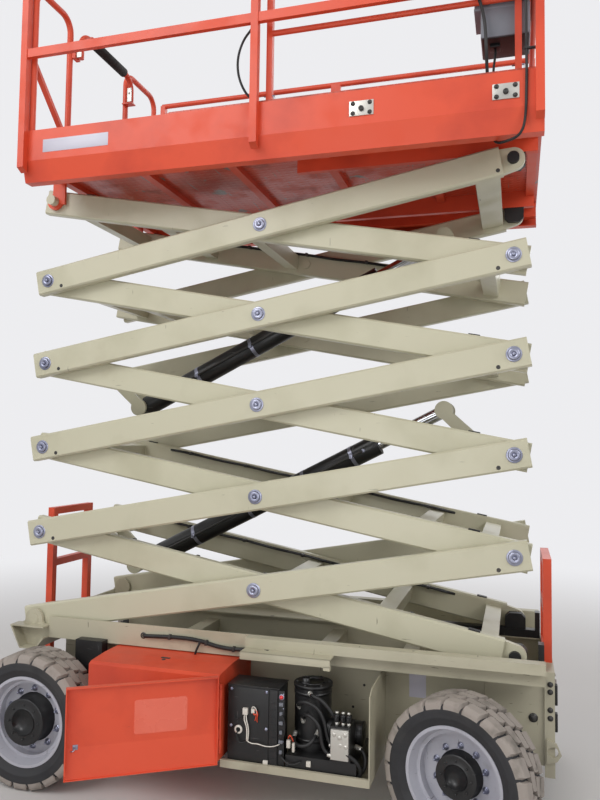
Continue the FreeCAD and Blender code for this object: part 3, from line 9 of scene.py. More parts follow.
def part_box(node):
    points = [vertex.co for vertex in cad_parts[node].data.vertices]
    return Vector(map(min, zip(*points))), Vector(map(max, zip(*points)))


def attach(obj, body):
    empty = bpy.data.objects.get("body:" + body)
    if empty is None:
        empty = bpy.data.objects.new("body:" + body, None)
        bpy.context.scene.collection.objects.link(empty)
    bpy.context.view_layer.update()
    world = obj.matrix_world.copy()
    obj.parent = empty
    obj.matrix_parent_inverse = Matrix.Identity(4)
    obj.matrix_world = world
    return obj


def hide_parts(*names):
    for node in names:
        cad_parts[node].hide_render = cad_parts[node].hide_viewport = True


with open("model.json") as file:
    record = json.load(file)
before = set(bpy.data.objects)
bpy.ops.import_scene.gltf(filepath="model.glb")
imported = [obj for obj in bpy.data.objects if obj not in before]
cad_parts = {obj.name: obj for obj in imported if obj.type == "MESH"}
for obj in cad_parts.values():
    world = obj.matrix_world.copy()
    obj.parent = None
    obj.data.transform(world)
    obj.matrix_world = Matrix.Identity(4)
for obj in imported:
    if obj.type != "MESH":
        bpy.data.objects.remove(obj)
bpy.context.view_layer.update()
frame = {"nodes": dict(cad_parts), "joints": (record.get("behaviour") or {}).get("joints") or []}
nodes = frame["nodes"]
joints = {row["name"]: row for row in frame["joints"]}
dice = random.Random(17)
print("stage 1: frame loaded,", len(nodes), "nodes")

# camera, at the height and angle of the photograph
cameraSetup = {
    "place": (1.4284, -4.3536, 1.8957),  # metres
    "turn": (93.308, -0.786, 16.384),  # degrees about X, Y, Z
    "lens": 33.08,
    "sensor": 36.0,
}
cameraData = bpy.data.cameras.new("camera")
cameraData.lens = cameraSetup["lens"]
cameraData.sensor_width = cameraSetup["sensor"]
camera = bpy.data.objects.new("camera", cameraData)
camera.location = cameraSetup["place"]
camera.rotation_euler = [math.radians(a) for a in cameraSetup["turn"]]
bpy.context.scene.collection.objects.link(camera)
bpy.context.scene.camera = camera
print("stage 2: camera placed")

# shader groups: masks and heights that several finishes share
maskLook = {
    "grimeDetail": 6.0,
    "grimeSharpness": 6.0,
    "roughScale": 6.0,  # of the patches that vary the roughness
    "scratchStretches": ((1, 1, 14), (14, 1, 1.5), (2, 1, 22)),
    "scratchEdge": 0.82,
    "scratchSharpness": 30.0,
    "dustScale": 7.0,
    "dustFloor": 0.35,  # how much dust stays where the noise is lowest
    "treadEdge": 0.25,
    "treadSteepness": 2.5,
}


def newGroup(name, inputs, outputs):
    group = bpy.data.node_groups.new(name, "ShaderNodeTree")
    for label, value in inputs:
        socket = group.interface.new_socket(label, in_out="INPUT", socket_type="NodeSocketFloat")
        socket.default_value = value
    for label in outputs:
        group.interface.new_socket(label, in_out="OUTPUT", socket_type="NodeSocketFloat")
    return group, group.nodes.new("NodeGroupInput"), group.nodes.new("NodeGroupOutput")


def pointsOf(tree, stretch=(1, 1, 1)):
    coords = tree.nodes.new("ShaderNodeTexCoord")
    mapping = tree.nodes.new("ShaderNodeMapping")
    mapping.inputs["Scale"].default_value = stretch
    tree.links.new(coords.outputs["Object"], mapping.inputs["Vector"])
    return mapping.outputs["Vector"]


def noiseOf(tree, vector, scale, detail=4.0):
    noise = tree.nodes.new("ShaderNodeTexNoise")
    noise.inputs["Detail"].default_value = detail
    tree.links.new(vector, noise.inputs["Vector"])
    if isinstance(scale, (int, float)):
        noise.inputs["Scale"].default_value = scale
    else:
        tree.links.new(scale, noise.inputs["Scale"])
    return noise.outputs["Fac"]


def mathOf(tree, kind, first, second, clamp=False):
    node = tree.nodes.new("ShaderNodeMath")
    node.operation = kind
    node.use_clamp = clamp
    for index, value in enumerate((first, second)):
        if isinstance(value, (int, float)):
            node.inputs[index].default_value = value
        else:
            tree.links.new(value, node.inputs[index])
    return node.outputs[0]


# patchy grime: noise pushed through a threshold
grimeGroup, grimeIn, grimeOut = newGroup("patchyGrime", (("Scale", 3.0), ("Cover", 0.5)), ("Mask",))
grimeNoise = noiseOf(grimeGroup, pointsOf(grimeGroup), grimeIn.outputs["Scale"], maskLook["grimeDetail"])
grimeEdge = mathOf(grimeGroup, "SUBTRACT", 1.0, grimeIn.outputs["Cover"])
grimeSpread = mathOf(grimeGroup, "SUBTRACT", grimeNoise, grimeEdge)
grimeSharp = mathOf(grimeGroup, "MULTIPLY", grimeSpread, maskLook["grimeSharpness"], True)
grimeGroup.links.new(grimeSharp, grimeOut.inputs["Mask"])

# fine scratches: three stretched noises, thin threshold
scratchGroup, scratchIn, scratchOut = newGroup("fineScratches", (("Scale", 9.0), ("Cover", 0.2)), ("Mask",))
scratchMasks = []
for stretch in maskLook["scratchStretches"]:
    line = noiseOf(scratchGroup, pointsOf(scratchGroup, stretch), scratchIn.outputs["Scale"], 3.0)
    cover = mathOf(scratchGroup, "MULTIPLY", scratchIn.outputs["Cover"], 0.5)
    edge = mathOf(scratchGroup, "SUBTRACT", maskLook["scratchEdge"], cover)
    rise = mathOf(scratchGroup, "SUBTRACT", line, edge)
    scratchMasks.append(mathOf(scratchGroup, "MULTIPLY", rise, maskLook["scratchSharpness"], True))
scratchBoth = mathOf(scratchGroup, "MAXIMUM", scratchMasks[0], scratchMasks[1])
scratchAll = mathOf(scratchGroup, "MAXIMUM", scratchBoth, scratchMasks[2])
scratchGroup.links.new(scratchAll, scratchOut.inputs["Mask"])

# floor dust: full near the ground, fading upward, broken up by noise
dustGroup, dustIn, dustOut = newGroup("floorDust", (("Top", 0.8), ("Amount", 0.7)), ("Mask",))
dustCoords = dustGroup.nodes.new("ShaderNodeTexCoord")
dustSplit = dustGroup.nodes.new("ShaderNodeSeparateXYZ")
dustGroup.links.new(dustCoords.outputs["Object"], dustSplit.inputs[0])
dustHeight = mathOf(dustGroup, "DIVIDE", dustSplit.outputs["Z"], dustIn.outputs["Top"], True)
dustFade = mathOf(dustGroup, "SUBTRACT", 1.0, dustHeight, True)
dustNoise = noiseOf(dustGroup, pointsOf(dustGroup), maskLook["dustScale"], 5.0)
dustShare = mathOf(dustGroup, "ADD", dustNoise, maskLook["dustFloor"])
dustBroken = mathOf(dustGroup, "MULTIPLY", dustFade, dustShare, True)
dustMask = mathOf(dustGroup, "MULTIPLY", dustBroken, dustIn.outputs["Amount"], True)
dustGroup.links.new(dustMask, dustOut.inputs["Mask"])

# grain: small height noise for bump
grainGroup, grainIn, grainOut = newGroup("fineGrain", (("Scale", 180.0), ("Depth", 1.0)), ("Height",))
grainNoise = noiseOf(grainGroup, pointsOf(grainGroup), grainIn.outputs["Scale"], 3.0)
grainHeight = mathOf(grainGroup, "MULTIPLY", grainNoise, grainIn.outputs["Depth"])
grainGroup.links.new(grainHeight, grainOut.inputs["Height"])

# raised tread: rows of small bumps, every second one turned
treadGroup, treadIn, treadOut = newGroup("raisedTread", (("Pitch", 75.0),), ("Height",))
treadSplit = treadGroup.nodes.new("ShaderNodeSeparateXYZ")
treadGroup.links.new(pointsOf(treadGroup), treadSplit.inputs[0])
treadWaves = []
for sign in (1.0, -1.0):
    across = mathOf(treadGroup, "MULTIPLY", treadSplit.outputs["Y"], sign)
    slanted = mathOf(treadGroup, "ADD", treadSplit.outputs["X"], across)
    phase = mathOf(treadGroup, "MULTIPLY", slanted, treadIn.outputs["Pitch"])
    treadWaves.append(mathOf(treadGroup, "SINE", phase, 0.0))
treadBoth = mathOf(treadGroup, "MULTIPLY", treadWaves[0], treadWaves[1])
treadTops = mathOf(treadGroup, "SUBTRACT", treadBoth, maskLook["treadEdge"])
treadRise = mathOf(treadGroup, "MULTIPLY", treadTops, maskLook["treadSteepness"], True)
treadGroup.links.new(treadRise, treadOut.inputs["Height"])
print("stage 3: shader groups made")


def linear(colour):
    steps = []
    for value in colour:
        steps.append(value / 12.92 if value <= 0.04045 else ((value + 0.055) / 1.055) ** 2.4)
    return (*steps, 1.0)


def placeGroup(tree, group, values):
    node = tree.nodes.new("ShaderNodeGroup")
    node.node_tree = group
    for label, value in values.items():
        node.inputs[label].default_value = value
    return node.outputs[0]


def mixColour(tree, mask, first, second):
    mix = tree.nodes.new("ShaderNodeMix")
    mix.data_type = "RGBA"
    tree.links.new(mask, mix.inputs["Factor"])
    for socket, value in ((mix.inputs["A"], first), (mix.inputs["B"], second)):
        if isinstance(value, tuple):
            socket.default_value = linear(value)
        else:
            tree.links.new(value, socket)
    return mix.outputs["Result"]


layers = (  # in the order they lie on the paint
    ("scratch", scratchGroup, ("Cover", "Scale")),
    ("stain", grimeGroup, ("Cover", "Scale")),
    ("dust", dustGroup, ("Amount", "Top")),
)


def makeFinish(name, look):
    material = bpy.data.materials.new(name)
    material.use_nodes = True
    tree = material.node_tree
    shader = tree.nodes["Principled BSDF"]
    shader.inputs["Metallic"].default_value = look.get("metallic", 0.0)
    shader.inputs["Coat Weight"].default_value = look.get("coat", 0.0)
    shader.inputs["Coat Roughness"].default_value = 0.18
    colour = mixColour(
        tree,
        placeGroup(tree, grimeGroup, {"Scale": look.get("patchScale", 2.2), "Cover": 0.5}),
        look["colour"],
        look["shade"],
    )
    for layer, group, labels in layers:
        if layer in look:
            *values, paint = look[layer]
            colour = mixColour(tree, placeGroup(tree, group, dict(zip(labels, values))), colour, paint)
    tree.links.new(colour, shader.inputs["Base Color"])
    low, high = look["roughness"]
    roughNoise = placeGroup(tree, grimeGroup, {"Scale": maskLook["roughScale"], "Cover": 0.5})
    rough = mathOf(tree, "ADD", mathOf(tree, "MULTIPLY", roughNoise, high - low), low)
    tree.links.new(rough, shader.inputs["Roughness"])
    bump = tree.nodes.new("ShaderNodeBump")
    bump.inputs["Strength"].default_value = look.get("bump", 0.15)
    bump.inputs["Distance"].default_value = look.get("bumpDepth", 0.001)
    if "tread" in look:
        height = placeGroup(tree, treadGroup, {"Pitch": look["tread"]})
    else:
        height = placeGroup(tree, grainGroup, {"Scale": look.get("grain", 180.0), "Depth": 1.0})
    tree.links.new(height, bump.inputs["Height"])
    tree.links.new(bump.outputs["Normal"], shader.inputs["Normal"])
    return material


# scratch and stain: cover, scale, colour; dust: amount, height it reaches, colour
finishLooks = {
    "creamPaint": {
        "colour": (0.77, 0.755, 0.66), "shade": (0.725, 0.71, 0.61), "roughness": (0.38, 0.55), "coat": 0.1,
        "scratch": (0.14, 5.0, (0.55, 0.53, 0.45)),
        "stain": (0.34, 1.6, (0.66, 0.63, 0.52)), "grain": 260.0, "bump": 0.06,
    },
    "chassisPaint": {
        "colour": (0.735, 0.715, 0.625), "shade": (0.67, 0.65, 0.56), "roughness": (0.45, 0.62), "coat": 0.05,
        "scratch": (0.2, 6.0, (0.42, 0.40, 0.34)), "stain": (0.38, 3.2, (0.52, 0.49, 0.41)),
        "dust": (0.5, 1.0, (0.58, 0.55, 0.49)), "grain": 240.0, "bump": 0.08,
    },
    "orangePaint": {
        "colour": (0.86, 0.31, 0.185), "shade": (0.78, 0.26, 0.155), "roughness": (0.46, 0.6), "coat": 0.06,
        "scratch": (0.08, 6.0, (0.60, 0.24, 0.17)),
        "stain": (0.26, 2.4, (0.66, 0.21, 0.14)), "grain": 260.0, "bump": 0.05,
    },
    # painted reflection: the paler, pinker orange of the door patch stands in for a reflection on the paint; coat and
    # low roughness also make it glossy
    "sheenPatchOrange": {
        "colour": (0.90, 0.42, 0.33), "shade": (0.88, 0.36, 0.24), "roughness": (0.26, 0.38), "coat": 0.3,
        "grain": 260.0, "bump": 0.03,
    },
    "deckTread": {
        "colour": (0.80, 0.29, 0.18), "shade": (0.66, 0.25, 0.17), "roughness": (0.35, 0.6), "coat": 0.15,
        "scratch": (0.3, 4.0, (0.52, 0.48, 0.45)),
        "stain": (0.4, 3.0, (0.46, 0.26, 0.21)), "tread": 75.0, "bump": 0.6, "bumpDepth": 0.0025,
    },
    "blackPaint": {
        "colour": (0.085, 0.085, 0.09), "shade": (0.12, 0.12, 0.12), "roughness": (0.35, 0.6),
        "scratch": (0.2, 7.0, (0.3, 0.3, 0.3)),
        "stain": (0.3, 4.0, (0.17, 0.165, 0.155)), "grain": 320.0, "bump": 0.12,
    },
    "rimPaint": {
        "colour": (0.70, 0.70, 0.735), "shade": (0.62, 0.62, 0.66), "roughness": (0.3, 0.5), "coat": 0.2,
        "scratch": (0.2, 9.0, (0.38, 0.37, 0.38)),
        "stain": (0.35, 6.0, (0.49, 0.475, 0.46)), "grain": 200.0, "bump": 0.06,
    },
    "tyreRubber": {
        "colour": (0.165, 0.165, 0.175), "shade": (0.21, 0.205, 0.205), "roughness": (0.7, 0.92),
        "stain": (0.3, 8.0, (0.29, 0.275, 0.26)), "grain": 150.0, "bump": 0.3,
    },
    "treadRubber": {
        "colour": (0.62, 0.585, 0.555), "shade": (0.50, 0.475, 0.445), "roughness": (0.85, 0.97), "patchScale": 9.0,
        "stain": (0.34, 14.0, (0.27, 0.255, 0.24)), "grain": 120.0, "bump": 0.35,
    },
    "darkSteel": {
        "colour": (0.24, 0.235, 0.23), "shade": (0.17, 0.165, 0.16), "roughness": (0.4, 0.65), "metallic": 0.3,
        "stain": (0.35, 7.0, (0.32, 0.29, 0.25)), "grain": 150.0, "bump": 0.2,
    },
    "zincPlate": {
        "colour": (0.60, 0.61, 0.68), "shade": (0.47, 0.48, 0.56), "roughness": (0.28, 0.45), "metallic": 0.75,
        "stain": (0.25, 18.0, (0.36, 0.34, 0.33)), "grain": 400.0, "bump": 0.08,
    },
    "chromeRod": {
        "colour": (0.74, 0.75, 0.77), "shade": (0.66, 0.67, 0.70), "roughness": (0.1, 0.2), "metallic": 1.0,
        "grain": 500.0, "bump": 0.03,
    },
    "blackRubber": {
        "colour": (0.07, 0.07, 0.072), "shade": (0.10, 0.10, 0.10), "roughness": (0.55, 0.8),
        "stain": (0.25, 10.0, (0.17, 0.16, 0.15)), "grain": 220.0, "bump": 0.2,
    },
    "foamBlack": {
        "colour": (0.075, 0.075, 0.075), "shade": (0.10, 0.10, 0.098), "roughness": (0.85, 0.97),
        "grain": 420.0, "bump": 0.7, "bumpDepth": 0.002,
    },
    "greyPlastic": {
        "colour": (0.47, 0.48, 0.51), "shade": (0.42, 0.43, 0.46), "roughness": (0.45, 0.65),
        "scratch": (0.15, 9.0, (0.62, 0.62, 0.64)), "grain": 380.0, "bump": 0.2,
    },
    "barePlate": {
        "colour": (0.76, 0.75, 0.80), "shade": (0.70, 0.69, 0.75), "roughness": (0.3, 0.45),
        "stain": (0.2, 20.0, (0.6, 0.59, 0.62)), "grain": 300.0, "bump": 0.04,
    },
    "alloyPlate": {
        "colour": (0.78, 0.77, 0.74), "shade": (0.69, 0.68, 0.66), "roughness": (0.3, 0.5), "metallic": 0.6,
        "stain": (0.25, 25.0, (0.5, 0.48, 0.45)), "grain": 350.0, "bump": 0.08,
    },
    "redLens": {
        "colour": (0.85, 0.06, 0.08), "shade": (0.75, 0.05, 0.07), "roughness": (0.15, 0.25), "coat": 0.6,
        "grain": 300.0, "bump": 0.03,
    },
    "wireWhite": {
        "colour": (0.86, 0.84, 0.80), "shade": (0.76, 0.74, 0.70), "roughness": (0.4, 0.55),
        "grain": 300.0, "bump": 0.05,
    },
}
finish = {name: makeFinish(name, look) for name, look in finishLooks.items()}
print("stage 4: finishes made,", len(finish))

# which finish each carried-over node takes, by the start of its name
nodeFinish = (
    ("tyre_", "tyreRubber"), ("rim_", "rimPaint"), ("knuckle_", "darkSteel"), ("front_axle", "darkSteel"),
    ("rear_axle", "darkSteel"), ("side_rails", "chassisPaint"), ("rail_webs", "chassisPaint"),
    ("cross_members", "chassisPaint"), ("front_beam", "chassisPaint"), ("rear_beam", "chassisPaint"),
    ("slide_tracks", "blackPaint"), ("track_stops", "blackPaint"), ("battery_pack", "blackPaint"),
    ("rear_covers", "orangePaint"), ("component_trays", "chassisPaint"), ("control_module", "blackPaint"),
    ("hydraulic_unit", "blackPaint"), ("charger", "blackPaint"), ("door_", "orangePaint"),
    ("ladder_", "orangePaint"), ("outer_arms", "creamPaint"), ("inner_arms", "creamPaint"),
    ("inner_cross", "creamPaint"), ("slide_blocks", "blackRubber"), ("cylinder_lower_barrel", "blackPaint"),
    ("cylinder_upper_barrel", "blackPaint"), ("cylinder_lower_rod", "chromeRod"),
    ("cylinder_upper_rod", "chromeRod"), ("control_box", "greyPlastic"), ("platform_deck", "deckTread"),
    ("slide_deck", "deckTread"), ("platform_", "orangePaint"),
    ("side_panels", "orangePaint"), ("guard_rails", "orangePaint"), ("entry_", "orangePaint"),
    ("slide_", "orangePaint"),
)
softEdge = {"width": 0.0018, "segments": 2, "angle": 40.0}  # small bevel on painted steel
plainEdged = ("tyre_", "rim_", "cylinder_", "entry_bar")
for name, part in nodes.items():
    kind = next(label for start, label in nodeFinish if name.startswith(start))
    part.data.materials.clear()
    part.data.materials.append(finish[kind])
    if name.startswith(plainEdged):
        continue
    bevel = part.modifiers.new("softEdge", "BEVEL")
    bevel.width = softEdge["width"]
    bevel.segments = softEdge["segments"]
    bevel.limit_method = "ANGLE"
    bevel.angle_limit = math.radians(softEdge["angle"])
    bevel.harden_normals = False
print("stage 5: nodes finished")

# mesh helpers: every new piece is built from these


def keepPiece(name, mesh, kind, body, smooth=35.0):
    # smooth: degrees above which an edge stays sharp
    for edge in mesh.edges:
        if len(edge.link_faces) == 2 and edge.calc_face_angle(0.0) > math.radians(smooth):
            edge.smooth = False
    for face in mesh.faces:
        face.smooth = True
    data = bpy.data.meshes.new(name)
    mesh.to_mesh(data)
    mesh.free()
    data.materials.append(finish[kind])
    piece = bpy.data.objects.new(name, data)
    bpy.context.scene.collection.objects.link(piece)
    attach(piece, body)
    return piece


def addBox(mesh, low, high, bevel=0.0, place=None):
    made = bmesh.ops.create_cube(mesh, size=1.0)
    size = [h - l for l, h in zip(low, high)]
    middle = [(h + l) / 2 for l, h in zip(low, high)]
    shape = Matrix.Translation(middle) @ Matrix.Diagonal((*size, 1.0))
    if place:
        shape = place @ shape
    bmesh.ops.transform(mesh, matrix=shape, verts=made["verts"])
    if bevel:
        edges = list({edge for vert in made["verts"] for edge in vert.link_edges})
        bmesh.ops.bevel(mesh, geom=edges, offset=bevel, segments=2, profile=0.6, affect="EDGES")


def turned(mesh, profile, place, steps=24):
    # profile: (radius, distance along the local axis Z)
    rings = []
    for radius, along in profile:
        if radius < 1e-6:
            rings.append([mesh.verts.new(place @ Vector((0, 0, along)))])
            continue
        ring = []
        for step in range(steps):
            angle = 2 * math.pi * step / steps
            spot = Vector((radius * math.cos(angle), radius * math.sin(angle), along))
            ring.append(mesh.verts.new(place @ spot))
        rings.append(ring)
    for first, second in zip(rings, rings[1:]):
        for step in range(steps):
            after = (step + 1) % steps
            if len(first) == 1 and len(second) == 1:
                continue
            if len(first) == 1:
                mesh.faces.new((first[0], second[step], second[after]))
            elif len(second) == 1:
                mesh.faces.new((first[step], first[after], second[0]))
            else:
                mesh.faces.new((first[step], first[after], second[after], second[step]))


def aim(place, direction, roll=0.0):
    # matrix that carries local Z onto a direction
    turn = Vector(direction).to_track_quat("Z", "Y").to_matrix().to_4x4()
    return Matrix.Translation(place) @ turn @ Matrix.Rotation(roll, 4, "Z")


boltLook = {"washer": 1.75, "washerThick": 0.28, "corner": 1.15, "side": 0.75, "top": 0.95}  # as shares of the size


def addBolt(mesh, place, direction, size, washer=True):
    # hex head with a chamfer, on a washer; size is half the width across flats
    spot = aim(place, direction, dice.random())
    base = 0.0
    if washer:
        rim, base = size * boltLook["washer"], size * boltLook["washerThick"]
        turned(mesh, ((0, 0), (rim, 0), (rim, base), (0, base)), spot, 20)
    corner, side, top = (size * boltLook[key] for key in ("corner", "side", "top"))
    head = ((0, base), (corner, base), (corner, base + side), (top, base + size), (0, base + size))
    turned(mesh, head, spot, 6)


def roundedPath(points, steps=8):
    # smooth open curve through control points, as a quadratic spline
    points = [Vector(p) for p in points]
    out = [points[0]]
    for index in range(1, len(points) - 1):
        start = (points[index - 1] + points[index]) / 2 if index > 1 else points[0]
        end = (points[index] + points[index + 1]) / 2 if index < len(points) - 2 else points[-1]
        for step in range(1, steps + 1):
            part = step / steps
            out.append((1 - part) ** 2 * start + 2 * part * (1 - part) * points[index] + part ** 2 * end)
    return out


def addHose(mesh, points, radius, sides=10, steps=8):
    path = roundedPath(points, steps) if len(points) > 2 else [Vector(p) for p in points]
    normal = Vector((0, 0, 1))
    rings = []
    for index, spot in enumerate(path):
        before = path[max(index - 1, 0)]
        after = path[min(index + 1, len(path) - 1)]
        along = (after - before).normalized()
        side = along.cross(normal)
        if side.length < 0.05:
            side = along.cross(Vector((0, 1, 0)))
        side.normalize()
        up = side.cross(along).normalized()
        normal = up
        ring = []
        for step in range(sides):
            angle = 2 * math.pi * step / sides
            ring.append(mesh.verts.new(spot + radius * (math.cos(angle) * side + math.sin(angle) * up)))
        rings.append(ring)
    for first, second in zip(rings, rings[1:]):
        for step in range(sides):
            after = (step + 1) % sides
            mesh.faces.new((first[step], first[after], second[after], second[step]))
    mesh.faces.new(rings[0][::-1])
    mesh.faces.new(rings[-1])


# tyres: carcass with deep block tread, replacing the plain solids
tyreLook = {
    "radius": 0.360,
    "halfWidth": 0.119,
    "treadDepth": 0.020,
    "beadRadius": 0.227,
    "beadHalf": 0.089,
    "wall": (  # radius, depth in from the half width
        (0.262, 0.012), (0.275, 0.006), (0.279, 0.0025), (0.285, 0.005), (0.302, 0.0015), (0.318, 0.003),
    ),
    "blocks": 22,
    "lean": 0.006,
    # rows of a lug: y, half width in pitches, steps of lean, root under the ground of the tread, top under the radius
    "shoulder": (
        (0.116, 0.38, 0, 0.024, 0.022), (0.1105, 0.40, 0, 0.010, 0.011), (0.097, 0.42, 1, 0.006, 0.002),
        (0.062, 0.43, 2, 0.006, 0.0005), (0.049, 0.38, 3, 0.006, 0.0005),
    ),
    "inner": ((0.044, 0.38, 0, 0.006, 0.0005), (0.026, 0.44, 1, 0.006, 0.0), (0.003, 0.40, 2, 0.006, 0.0)),
    "innerShift": 0.25,  # of a pitch
}


def wheelFrame(joint):
    row = joints[joint]
    axis = Vector(row["axis"]).normalized()
    if axis.y < 0:
        axis = -axis
    sideways = Vector((0, 0, 1)).cross(axis).normalized()
    turn = Matrix((sideways, axis, Vector((0, 0, 1)))).transposed().to_4x4()
    return Matrix.Translation(row["pos_m"]) @ turn  # local X forward, Y along the axle, Z up


def addLug(mesh, place, angle, reach, sections):
    # sections: rows of (y, half width along the tread, offset of its middle, root radius, top radius)
    rows = []
    for y, half, shift, bottom, top in sections:
        row = []
        for radius, taper in ((bottom, 1.12), (top, 0.94)):
            for side in (-1, 1):
                turn = angle + (shift + side * half * taper) / reach
                spot = Vector((radius * math.sin(turn), y, radius * math.cos(turn)))
                row.append(mesh.verts.new(place @ spot))
        rows.append(row)
    for first, second in zip(rows, rows[1:]):
        for a, b in ((0, 1), (1, 3), (3, 2), (2, 0)):
            mesh.faces.new((first[a], first[b], second[b], second[a]))
    mesh.faces.new((rows[0][0], rows[0][1], rows[0][3], rows[0][2]))
    mesh.faces.new((rows[-1][2], rows[-1][3], rows[-1][1], rows[-1][0]))


def makeTyre(joint, body, node):
    place = wheelFrame(joint)
    outer = tyreLook["radius"]
    ground = outer - tyreLook["treadDepth"]
    half = tyreLook["halfWidth"]
    bead, beadHalf = tyreLook["beadRadius"], tyreLook["beadHalf"]
    profile = [
        (bead, -beadHalf), (bead + 0.012, -beadHalf - 0.004),
        *((radius, depth - half) for radius, depth in tyreLook["wall"]),
        (ground - 0.004, -half + 0.014), (ground, -half + 0.03),
    ]
    profile += [(radius, -y) for radius, y in profile[::-1]]
    mesh = bmesh.new()
    turned(mesh, profile, place @ Matrix.Rotation(-math.pi / 2, 4, "X"), 96)
    carcass = keepPiece(f"carcass_{body}", mesh, "tyreRubber", body, 30.0)
    mesh = bmesh.new()
    count = tyreLook["blocks"]
    pitch = 2 * math.pi * outer / count
    for number in range(count):
        angle = 2 * math.pi * number / count
        for side in (-1, 1):
            stagger = 0.0 if side < 0 else pitch / 2
            lean = side * tyreLook["lean"]
            for row, shift in (("shoulder", 0.0), ("inner", pitch * tyreLook["innerShift"])):
                sections = [
                    (side * y, pitch * wide, stagger + shift + lean * leans, ground - root, outer - top)
                    for y, wide, leans, root, top in tyreLook[row]
                ]
                addLug(mesh, place, angle, outer, sections if side > 0 else sections[::-1])
    bmesh.ops.recalc_face_normals(mesh, faces=mesh.faces)
    keepPiece(f"tread_{body}", mesh, "treadRubber", body, 30.0)
    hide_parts(node)


hubLook = {
    "front": {"capRadius": 0.103, "capReach": 0.0655, "nutCircle": 0.130, "nutSize": 0.0092},
    "rear": {"capRadius": 0.124, "capReach": 0.1062, "nutCircle": 0.156, "nutSize": 0.0105},
    "nuts": 10,
    "screws": 8,
    "screwCircle": 0.74,  # of the cap's radius
}
stud = ((0.006, 0), (0.006, 0.03), (0.004, 0.033), (0, 0.033))


def around(place, count, shift=0.0):
    # directions away from the axle, evenly spaced
    turns = [2 * math.pi * (number + shift) / count for number in range(count)]
    return [place.to_3x3() @ Vector((math.cos(turn), 0, math.sin(turn))) for turn in turns]


def makeHub(joint, body, kind, outward):
    place = wheelFrame(joint)
    out = place.to_3x3() @ Vector((0, outward, 0))
    middle = place.translation
    reach, radius = hubLook[kind]["capReach"], hubLook[kind]["capRadius"]
    cap = bmesh.new()
    profile = (
        (0.0, reach), (radius * 0.55, reach), (radius * 0.60, reach - 0.004), (radius * 0.90, reach - 0.004),
        (radius - 0.001, reach - 0.0043), (radius, reach - 0.0055), (radius, 0.010), (radius + 0.008, 0.0085),
        (radius + 0.008, 0.0055),
    )
    turned(cap, profile, aim(middle, out), 48)
    for side in around(place, hubLook["screws"]):
        spot = middle + out * (reach - 0.004) + side * radius * hubLook["screwCircle"]
        addBolt(cap, spot, out, 0.005, False)
    keepPiece(f"hubcap_{body}", cap, "blackPaint", body)
    nuts = bmesh.new()
    for side in around(place, hubLook["nuts"], 0.5):
        spot = middle + out * 0.005 + side * hubLook[kind]["nutCircle"]
        addBolt(nuts, spot, out, hubLook[kind]["nutSize"])
        turned(nuts, stud, aim(spot, out), 10)
    keepPiece(f"nuts_{body}", nuts, "zincPlate", body)


wheels = (
    ("spin_rear_near", "wheel_rear_near", "tyre_rear_near", "rear", -1),
    ("spin_rear_far", "wheel_rear_far", "tyre_rear_far", "rear", 1),
    ("spin_front_near", "wheel_front_near", "tyre_front_near", "front", -1),
    ("spin_front_far", "wheel_front_far", "tyre_front_far", "front", 1),
)
for joint, body, node, kind, outward in wheels:
    makeTyre(joint, body, node)
    makeHub(joint, body, kind, outward)
print("stage 6: wheels made")

# pin heads on the outer faces of the arms
pinLook = {
    "face": 0.538,  # outer face of the arms, from the middle of the machine
    "washer": 0.040,
    "washerInner": 0.031,
    "washerThick": 0.004,
    "head": 0.030,
    "headReach": 0.015,
    "dimple": 0.011,
    "dimpleDepth": 0.004,
}
lift = joints["lift"]
stageCount = 5
restHigh = Vector(joints["platform_pivot"]["pos_m"]) - Vector(lift["pos_m"])
stageRise = restHigh.z / stageCount
middlePin = Vector(joints["inner_1_pivot"]["pos_m"])
rearPin = Vector(lift["pos_m"])
frontX = 2 * middlePin.x - rearPin.x


def addPinHead(mesh, spot, out):
    place = aim(spot, out)
    washer, inner, thick = pinLook["washer"], pinLook["washerInner"], pinLook["washerThick"]
    ring = ((0.0, 0.0), (washer, 0.0), (washer, thick * 0.7), (washer - 0.002, thick), (inner, thick))
    turned(mesh, ring, place, 28)
    head, reach, dimple = pinLook["head"], pinLook["headReach"], pinLook["dimple"]
    low = reach - pinLook["dimpleDepth"]
    cap = (
        (head, thick * 0.5), (head, reach - 0.003), (head - 0.003, reach), (dimple + 0.002, reach), (dimple, low),
        (0.0, low),
    )
    turned(mesh, cap, place, 28)
    plug = ((0.0085, 0.0), (0.0085, 0.0065), (0.006, 0.008), (0.0, 0.008))
    turned(mesh, plug, aim(spot + Vector(out) * low, out, 0.3), 6)


for stage in range(stageCount):
    mesh = bmesh.new()
    bottom = rearPin.z + stageRise * stage
    for side in (-1, 1):
        y = side * pinLook["face"]
        spots = [Vector((middlePin.x, y, bottom + stageRise / 2))]
        if stage:
            spots.append(Vector((rearPin.x, y, bottom)))
        if stage < stageCount - 1:
            spots.append(Vector((frontX, y, bottom + stageRise)))
        for spot in spots:
            addPinHead(mesh, spot, (0, side, 0))
    keepPiece(f"pinHeads_{stage + 1}", mesh, "zincPlate", f"outer_{stage + 1}")
print("stage 7: pins made")

# foam grip on the entry bar
foamLook = {"radius": 0.031, "bore": 0.020, "round": 0.006, "fromEnds": 0.1215, "tube": 0.030}
barLow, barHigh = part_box("entry_bar")
foamLength = barHigh.y - barLow.y - 2 * foamLook["fromEnds"]
foamStart = (barHigh.x - foamLook["tube"], barLow.y + foamLook["fromEnds"], barHigh.z - foamLook["tube"])
radius, bore, curve = foamLook["radius"], foamLook["bore"], foamLook["round"]
foamProfile = (
    (bore, 0.0), (radius - curve, 0.0), (radius, curve),
    (radius, foamLength - curve), (radius - curve, foamLength), (bore, foamLength),
)
mesh = bmesh.new()
turned(mesh, foamProfile, aim(foamStart, (0, 1, 0)), 32)
keepPiece("gripFoam", mesh, "foamBlack", "entry_bar")
print("stage 8: entry bar made")

